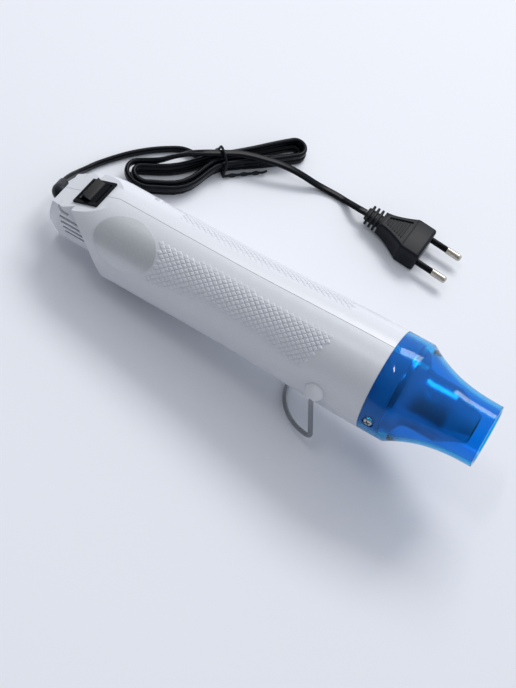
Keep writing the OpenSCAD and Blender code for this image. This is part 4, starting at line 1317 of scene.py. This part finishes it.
@dataclass
class Nozzle:
    """Clear blue shield round a spun steel nozzle."""

    wall: float = 2.0
    length: float = 56.0
    collar: float = 13.7
    mouth_r: float = 16.2
    power: float = 2.6
    spigot: float = 10.0
    head_room: float = 3.0
    hole_r: float = 1.4
    hole_from: float = 21.0

    def outer(self, x: float) -> float:
        """Outer radius of the shield in front of its collar."""
        t = (x - self.collar) / (self.length - self.collar)
        return self.mouth_r + (TOOL.front_r - self.mouth_r) * max(0.0, 1 - t) ** self.power

    def shield(self) -> Piece:
        """Collar with a chamfered front edge, then a hollow taper to the mouth.

        Returns:
            The shield.
        """
        xs = np.linspace(self.collar, self.length, 44)
        soft = 0.35
        profile = [(0, TOOL.front_r - self.wall + 0.1), (0, TOOL.front_r - soft), (0.1, TOOL.front_r - 0.1),
                   (soft, TOOL.front_r), (6.5, TOOL.front_r), (self.collar - 0.6, TOOL.front_r),
                   (self.collar - 0.15, TOOL.front_r - 0.05)]
        profile += [(float(x), self.outer(x)) for x in xs[1:-1]]
        profile += [(self.length - soft, self.mouth_r), (self.length - 0.1, self.mouth_r - 0.08),
                    (self.length, self.mouth_r - soft), (self.length, self.mouth_r - self.wall + soft),
                    (self.length - 0.1, self.mouth_r - self.wall + 0.08),
                    (self.length - soft, self.mouth_r - self.wall)]
        inner = [x for x in xs if x >= 17.0]
        profile += [(float(x), self.outer(x) - self.wall) for x in reversed(inner[:-1])]
        profile += [(self.spigot + 1.2, TOOL.front_r - self.wall - 1.6),
                    (self.spigot + 1.2, TOOL.front_r - self.wall)]
        piece = turned_piece("clear_shield", profile, 144)
        cutters, low = [], TOOL.front_r - TOOL.shield_screw_recess
        for side in (-1, 1):
            at = POSE.matrix() @ Matrix.Translation((TOOL.shield_screw_x, 0, 0)) @ Matrix.Rotation(
                side * math.pi / 2, 4, "Z")
            for start, end, r, steps in ((low, low + 9, self.head_room, 40),
                                         (self.hole_from, low + 1, self.hole_r, 32)):
                bore = [(start, 0), (start, r), (end, r), (end, 0)]
                cutters.append(turned_piece("bore", bore, steps, at, closed=False))
        carve(piece, cutters)
        soften(piece, 30)
        return piece

    def build(self) -> None:
        """Builds the shield and the steel nozzle."""
        seat(self.shield(), BLUE_POLYCARBONATE, "nozzle_shield")
        show_fine("steel_nozzle", "spun_nozzle", NOZZLE_STEEL, 38)


@dataclass
class Screws:
    """Pan head screws with a cross recess, the same kind in several lengths."""

    radius: float = 1.2
    head_r: float = 2.5
    head_h: float = 1.7
    shield_len: float = 6.0
    boss_in: float = 6.4
    boss_x: float = 46.0
    boss_y: float = -7.0
    boss_len: float = 14.0
    clamp_at: tuple[float, float, float] = (8.1, -5.45, 2.5)
    clamp_half: float = 5.2
    clamp_len: float = 9.0

    def pattern(self, length: float) -> Piece:
        """One screw about the origin in metres, its head up z and its shank's end at zero.

        Args:
            length: Length of its shank.

        Returns:
            The pattern piece.
        """
        dome = [(length + self.head_h * math.sin(a), self.head_r - 0.9 + 0.9 * math.cos(a))
                for a in np.linspace(0, math.pi / 2, 6)]
        shank = [(0, 0), (0, self.radius - 0.4), (0.5, self.radius)]
        for k in range(int(length / 0.8) - 1):
            shank += [(0.7 + 0.8 * k, self.radius), (1.1 + 0.8 * k, self.radius - 0.22)]
        profile = [*shank, (length, self.radius - 0.1), (length, self.head_r - 0.1), *dome[1:],
                   (length + self.head_h, 0)]
        upright = ON_TABLE @ Matrix.Rotation(-math.pi / 2, 4, "Y")
        screw = turned_piece("screw", profile, 28, upright, closed=False)
        slots = []
        for turn in (0, 90):
            slot = rounded_box("slot", (3.3, 0.62, 2.0), 0.02)
            slot.data.transform(Matrix.Translation((0, 0, (length + self.head_h + 0.05) * MM))
                                @ Matrix.Rotation(math.radians(turn + 20), 4, "Z"))
            slots.append(slot)
        carve(screw, slots)
        return screw

    def set_in(self, shop: Workshop, name: str, node: str, length: float, spots: Sequence[Matrix]) -> None:
        """Puts one kind of screw in its places, in place of its CAD node.

        Args:
            shop: The shared node trees.
            name: Name of the piece.
            node: The CAD node.
            length: Length of the shanks.
            spots: Frames of the screws, at the ends of their shanks.
        """
        piece = shop.repeat_on(name, self.pattern(length), [in_metres(m) for m in spots], SCREW_ZINC)
        soften(piece, 35)
        seat(piece, SCREW_ZINC, node)

    def build(self, shop: Workshop) -> None:
        """Builds the screws of the shield, the housing and the cord clamp.

        Args:
            shop: The shared node trees.
        """
        end_y = TOOL.front_r - TOOL.shield_screw_recess - self.shield_len
        boss_z = TOOL.grip_r - self.boss_in
        x, y, z = self.clamp_at
        kinds = (
            ("shield_screw_pair", "shield_screws", self.shield_len,
             [((TOOL.shield_screw_x, s * end_y, 0), -s) for s in (-1, 1)]),
            ("housing_screw_set", "housing_screws", self.boss_len,
             [((at, self.boss_y, s * boss_z), -1) for at in (-self.boss_x, TOOL.rear_x + self.boss_x)
              for s in (-1, 1)]),
            ("clamp_screw_pair", "clamp_screws", self.clamp_len,
             [((TOOL.rear_x + x, y, z + s * self.clamp_half), -1) for s in (-1, 1)]))
        for name, node, length, places in kinds:
            self.set_in(shop, name, node, length, [
                POSE.matrix() @ Matrix.Translation(at) @ Matrix.Rotation(quarter * math.pi / 2, 4, "X")
                for at, quarter in places])


@dataclass
class Stand:
    """Wire stand: two legs whose ends turn in to the pivots, and a curved foot."""

    back: float = 24.0
    drop: float = -2.0
    wire_r: float = 1.25
    leg: float = 31.5
    half: float = 28.6
    lean: float = 9.0
    toe: float = 10.0
    bend: float = 3.0
    pin_end: float = 22.1

    def side_path(self, sign: int) -> list[Point]:
        """Pin, leg and lower bend on one side, from the pin's end down to the foot.

        Args:
            sign: 1 for the left leg, -1 for the right.

        Returns:
            Points in the stand's frame.
        """
        pin_top = self.half - self.bend
        toe = math.radians(self.toe)
        path: list[Point] = [(0, sign * y, 0) for y in np.linspace(self.pin_end, pin_top, 3)[:-1]]
        for a in np.radians(np.arange(0, 91, 10)):
            path.append((0, sign * (pin_top + self.bend * math.sin(a)), self.bend * (math.cos(a) - 1)))
        path += [(0, sign * self.half, z) for z in np.linspace(-self.bend, self.bend - self.leg, 6)[1:-1]]
        for a in np.radians(np.arange(0, 91, 10)):
            inward = self.bend * (1 - math.cos(a))
            path.append((-inward * math.cos(toe), sign * (self.half - inward * math.sin(toe)),
                         -self.leg + self.bend * (1 - math.sin(a))))
        return path

    def path(self) -> list[Point]:
        """The whole wire from pin to pin.

        Returns:
            Points in the stand's frame.
        """
        toe = math.radians(self.toe)
        foot_y = self.half - self.bend * math.sin(toe)
        foot_r = foot_y / math.cos(toe)
        foot_x = foot_y * math.tan(toe) - self.bend * math.cos(toe)
        arc = [(foot_x - foot_r * math.cos(a), foot_r * math.sin(a), -self.leg)
               for a in np.radians(np.arange(77, -78, -3.5))]
        return [*self.side_path(1), *arc, *reversed(self.side_path(-1))]

    def build(self, shop: Workshop) -> None:
        """Builds the wire.

        Args:
            shop: The shared node trees.
        """
        place = POSE.matrix() @ Matrix.Translation((-self.back, 0, self.drop)) @ Matrix.Rotation(
            math.radians(-self.lean), 4, "Y")
        wire = shop.wire_along("stand_loop", self.path(), self.wire_r - 0.01, DRAWN_WIRE, place, 20)
        seat(wire, DRAWN_WIRE, "stand_wire", body=Body.STAND)


@dataclass
class Switch:
    """Polished rocker in its bezel, on the flat behind the handle, and the cord's boot below it."""

    flat_within: float = 0.5

    def build(self) -> None:
        """Builds the rocker and its bezel with softly rounded edges, and the boot."""
        for node, name, body, width in (("switch_body", "switch_bezel", Body.HOUSING, 0.25),
                                        ("switch_rocker", "rocker_cap", Body.ROCKER, 0.3)):
            piece = fine_copy(node, name)
            with reshaped(piece.data) as shape:
                bmesh.ops.dissolve_limit(shape, angle_limit=math.radians(self.flat_within),
                                         verts=shape.verts, edges=shape.edges)
            round_edges(piece, width)
            weigh_normals(piece, 30)
            seat(piece, GLOSS_BLACK, node, body=body)
        show_fine("cord_boot", "bend_relief", MOULDED_PVC, 40)


@dataclass
class Inside:
    """What shows through the slots and the nozzle: the heating coil and the wires."""

    coil_turns: int = 11
    coil_r: float = 8.95
    coil_wire_r: float = 1.1
    wire_r: float = 0.8
    coil_x: float = -26.7
    coil_run: float = 48.4
    live: tuple[Point, ...] = (
        (-172.85, 0, 3.5), (-171.5, -0.5, 3.4), (-169.5, -3.5, 1.5), (-168, -5.2, -2),
        (-166.5, -5.2, -5), (-164.5, -3.6, -6.4), (-163, -1.4, -5.4), (-163.1, 0, -2.8),
        (-164.23, 0, -0.08))
    neutral: tuple[Point, ...] = (
        (-172.85, 0, 1.5), (-171, 0.5, 0.5), (-168.5, 2.6, -4), (-162, 2.6, -9), (-152, 2.4, -11),
        (-140, 2.2, -11), (-132, 2, -12.5), (-125, 2, -18), (-119, 2, -20.5), (-110, 2, -20.6),
        (-90, 2, -20.6), (-70, 2, -20.6), (-62, 2, -19.5), (-54, 4, -11), (-46, 4.4, -4),
        (-41, 3.2, 3), (-38.5, 2.6, 4.2), (-35.55, 2.6, 4.2))
    switched: tuple[Point, ...] = (
        (-157.76, 0, 2.64), (-156.6, 0, -0.1), (-155, -1, -5), (-150, -2, -10), (-140, -2.2, -11),
        (-132, -2, -12.5), (-125, -2, -18), (-119, -2, -20.5), (-110, -2, -20.6), (-90, -2, -20.6),
        (-70, -2, -20.6), (-62, -2, -19.5), (-54, -5, -11), (-47, -6, 0), (-42, -4, 7),
        (-39, -2.4, 8.95), (-35.05, -2.4, 8.95))

    def coil_path(self) -> list[Point]:
        """Heating wire: straight in, round the mica cross and straight out.

        Returns:
            Points along the wire.
        """
        bend, end, rings = 2.4, 2.6, 32
        path: list[Point] = [(self.coil_x - bend - end, -bend, self.coil_r)]
        path += [(self.coil_x - bend * (1 - math.sin(a)), -bend * math.cos(a), self.coil_r)
                 for a in np.radians((0, 20, 40, 60))]
        total = self.coil_turns * rings
        for i in range(total + 1):
            a = math.tau * i / rings
            path.append((self.coil_x + self.coil_run * i / total, self.coil_r * math.sin(a),
                         self.coil_r * math.cos(a)))
        front = self.coil_x + self.coil_run
        path += [(front + bend * (1 - math.cos(a)), bend * math.sin(a), self.coil_r)
                 for a in np.radians((30, 60, 90))]
        return [*path, (front + bend + end, bend, self.coil_r)]

    def build(self, shop: Workshop) -> None:
        """Builds the coil and the three wires.

        Args:
            shop: The shared node trees.
        """
        pose = POSE.matrix()
        coil = shop.wire_along("heating_coil", self.coil_path(), self.coil_wire_r, HEATING_WIRE, pose, 10)
        seat(coil, HEATING_WIRE, "heater_coil")
        for name, node, route, finish in (
                ("live_wire", "wire_live", self.live, BROWN_WIRE),
                ("neutral_wire", "wire_neutral", self.neutral, BLUE_WIRE),
                ("switched_wire", "wire_switched", self.switched, BROWN_WIRE)):
            wire = shop.wire_along(name, catmull(route, 5), self.wire_r, finish, pose, 12)
            seat(wire, finish, node)


# The studio


@dataclass
class Studio:
    """Pale table, soft light and the camera at the photograph's angle."""

    eye: tuple[float, float, float] = (73.475, -388.057, 605.295)
    turn: tuple[float, float, float] = (30.9157, -13.5190, 31.8885)
    lens: float = 98.93
    floor_colour: str = "#E4E7ED"
    world_colour: str = "#EEF1F8"
    floor_patches: str = "#EBEEF5"
    bright_side: tuple[float, float, float] = (0.45, 0.89, 0.0)
    dim_level: float = 0.17
    bright_level: float = 0.97

    def camera(self) -> None:
        """Puts the camera where the photograph was taken from."""
        data = bpy.data.cameras.new("photo_angle")
        data.sensor_fit, data.sensor_width, data.lens = "HORIZONTAL", 36.0, self.lens
        data.clip_start, data.clip_end = 0.02, 30.0
        eye = in_scene("photo_angle", data)
        turn = Euler([math.radians(a) for a in self.turn]).to_matrix().to_4x4()
        eye.matrix_world = Matrix.Translation(Vector(self.eye) * MM) @ turn
        bpy.context.scene.camera = eye

    def lamp(self, name: str, at: Point, aim: Point, power: float, size: tuple[float, float], tint: str
             ) -> None:
        """Adds a soft box that looks at a point, in metres.

        Args:
            name: Name of the lamp.
            at: Its place.
            aim: The point.
            power: Power in watts.
            size: Its two sides.
            tint: Colour as sRGB hex.
        """
        data = bpy.data.lights.new(name, "AREA")
        data.shape, data.size, data.size_y = "RECTANGLE", size[0], size[1]
        data.energy, data.color = power, linear(tint)[:3]
        box = in_scene(name, data)
        away = (Vector(aim) - Vector(at)).to_track_quat("-Z", "Y")
        box.matrix_world = Matrix.Translation(at) @ away.to_matrix().to_4x4()

    def table(self) -> None:
        """Large pale table top that fades evenly and keeps the tool's shadow."""
        half = 3000.0
        corners = [(-half, -half, 0), (half, -half, 0), (half, half, 0), (-half, half, 0)]
        floor = new_piece("table_top", corners, [(0, 1, 2, 3)], ON_TABLE)
        material = bpy.data.materials.new("pale_table_laminate")
        tree = empty_tree(material)
        spot = add(tree, "ShaderNodeTexCoord")
        fog = add(tree, "ShaderNodeTexNoise", {"Vector": spot.outputs["Object"], "Scale": 1.7})
        colour = add(tree, "ShaderNodeMix", {
            0: fog.outputs["Fac"], 6: linear(self.floor_colour), 7: linear(self.floor_patches)},
            data_type="RGBA")
        surface = add(tree, "ShaderNodeBsdfPrincipled", {
            "Base Color": colour.outputs[2], "Roughness": 0.55, "Specular IOR Level": 0.25})
        add(tree, "ShaderNodeOutputMaterial", {"Surface": surface.outputs[0]})
        floor.data.materials.append(material)

    def world(self) -> None:
        """Pale room, brighter behind the tool's nose than on the camera's side."""
        room = bpy.data.worlds.new("pale_room")
        tree = empty_tree(room)
        way = add(tree, "ShaderNodeTexCoord")
        side = add(tree, "ShaderNodeVectorMath", {
            0: way.outputs["Generated"], 1: self.bright_side}, operation="DOT_PRODUCT")
        level = add(tree, "ShaderNodeMapRange", {
            "Value": side.outputs["Value"], "From Min": -0.8, "From Max": 0.5,
            "To Min": self.dim_level, "To Max": self.bright_level})
        light = add(tree, "ShaderNodeBackground", {
            "Color": linear(self.world_colour), "Strength": level.outputs[0]})
        add(tree, "ShaderNodeOutputWorld", {"Surface": light.outputs[0]})
        bpy.context.scene.world = room

    def build(self) -> None:
        """Builds the studio."""
        self.camera()
        self.table()
        self.world()
        self.lamp("window_light", (-0.12, 1.12, 1.29), (0, 0, 0), 14.0, (1.0, 0.5), "#FFFEFC")
        self.lamp("ceiling_panel", (-0.33, -0.12, 1.15), (0.07, 0, 0.07), 1.0, (0.3, 0.05), "#FFFFFF")
        bpy.context.scene.view_settings.view_transform = "Standard"


def dress_inner_nodes() -> None:
    """Gives every CAD node that still shows the finish of its material slot."""
    for entry in frame["record"]["subparts"]:
        node = frame["nodes"][entry["node"]]
        if node.hide_render:
            continue
        finish = BY_SLOT[entry["material_slot"]]
        dress(node, finish)
        LOG.info("%s: %s", entry["node"], finish.name)


def main() -> None:
    """Builds the scene: camera and cord first, then the tool from the outside in."""
    logging.basicConfig(level=logging.INFO, format="%(name)s %(message)s")
    Studio().build()
    shop = Workshop()
    cord = MainsCord()
    plug = Plug().build(shop)
    tie = WireTie().build(shop, cord)
    cord.build([*plug, tie])
    Housing().build(shop)
    Nozzle().build()
    Screws().build(shop)
    Stand().build(shop)
    Switch().build()
    Inside().build(shop)
    dress_inner_nodes()


if __name__ == "__main__":
    main()
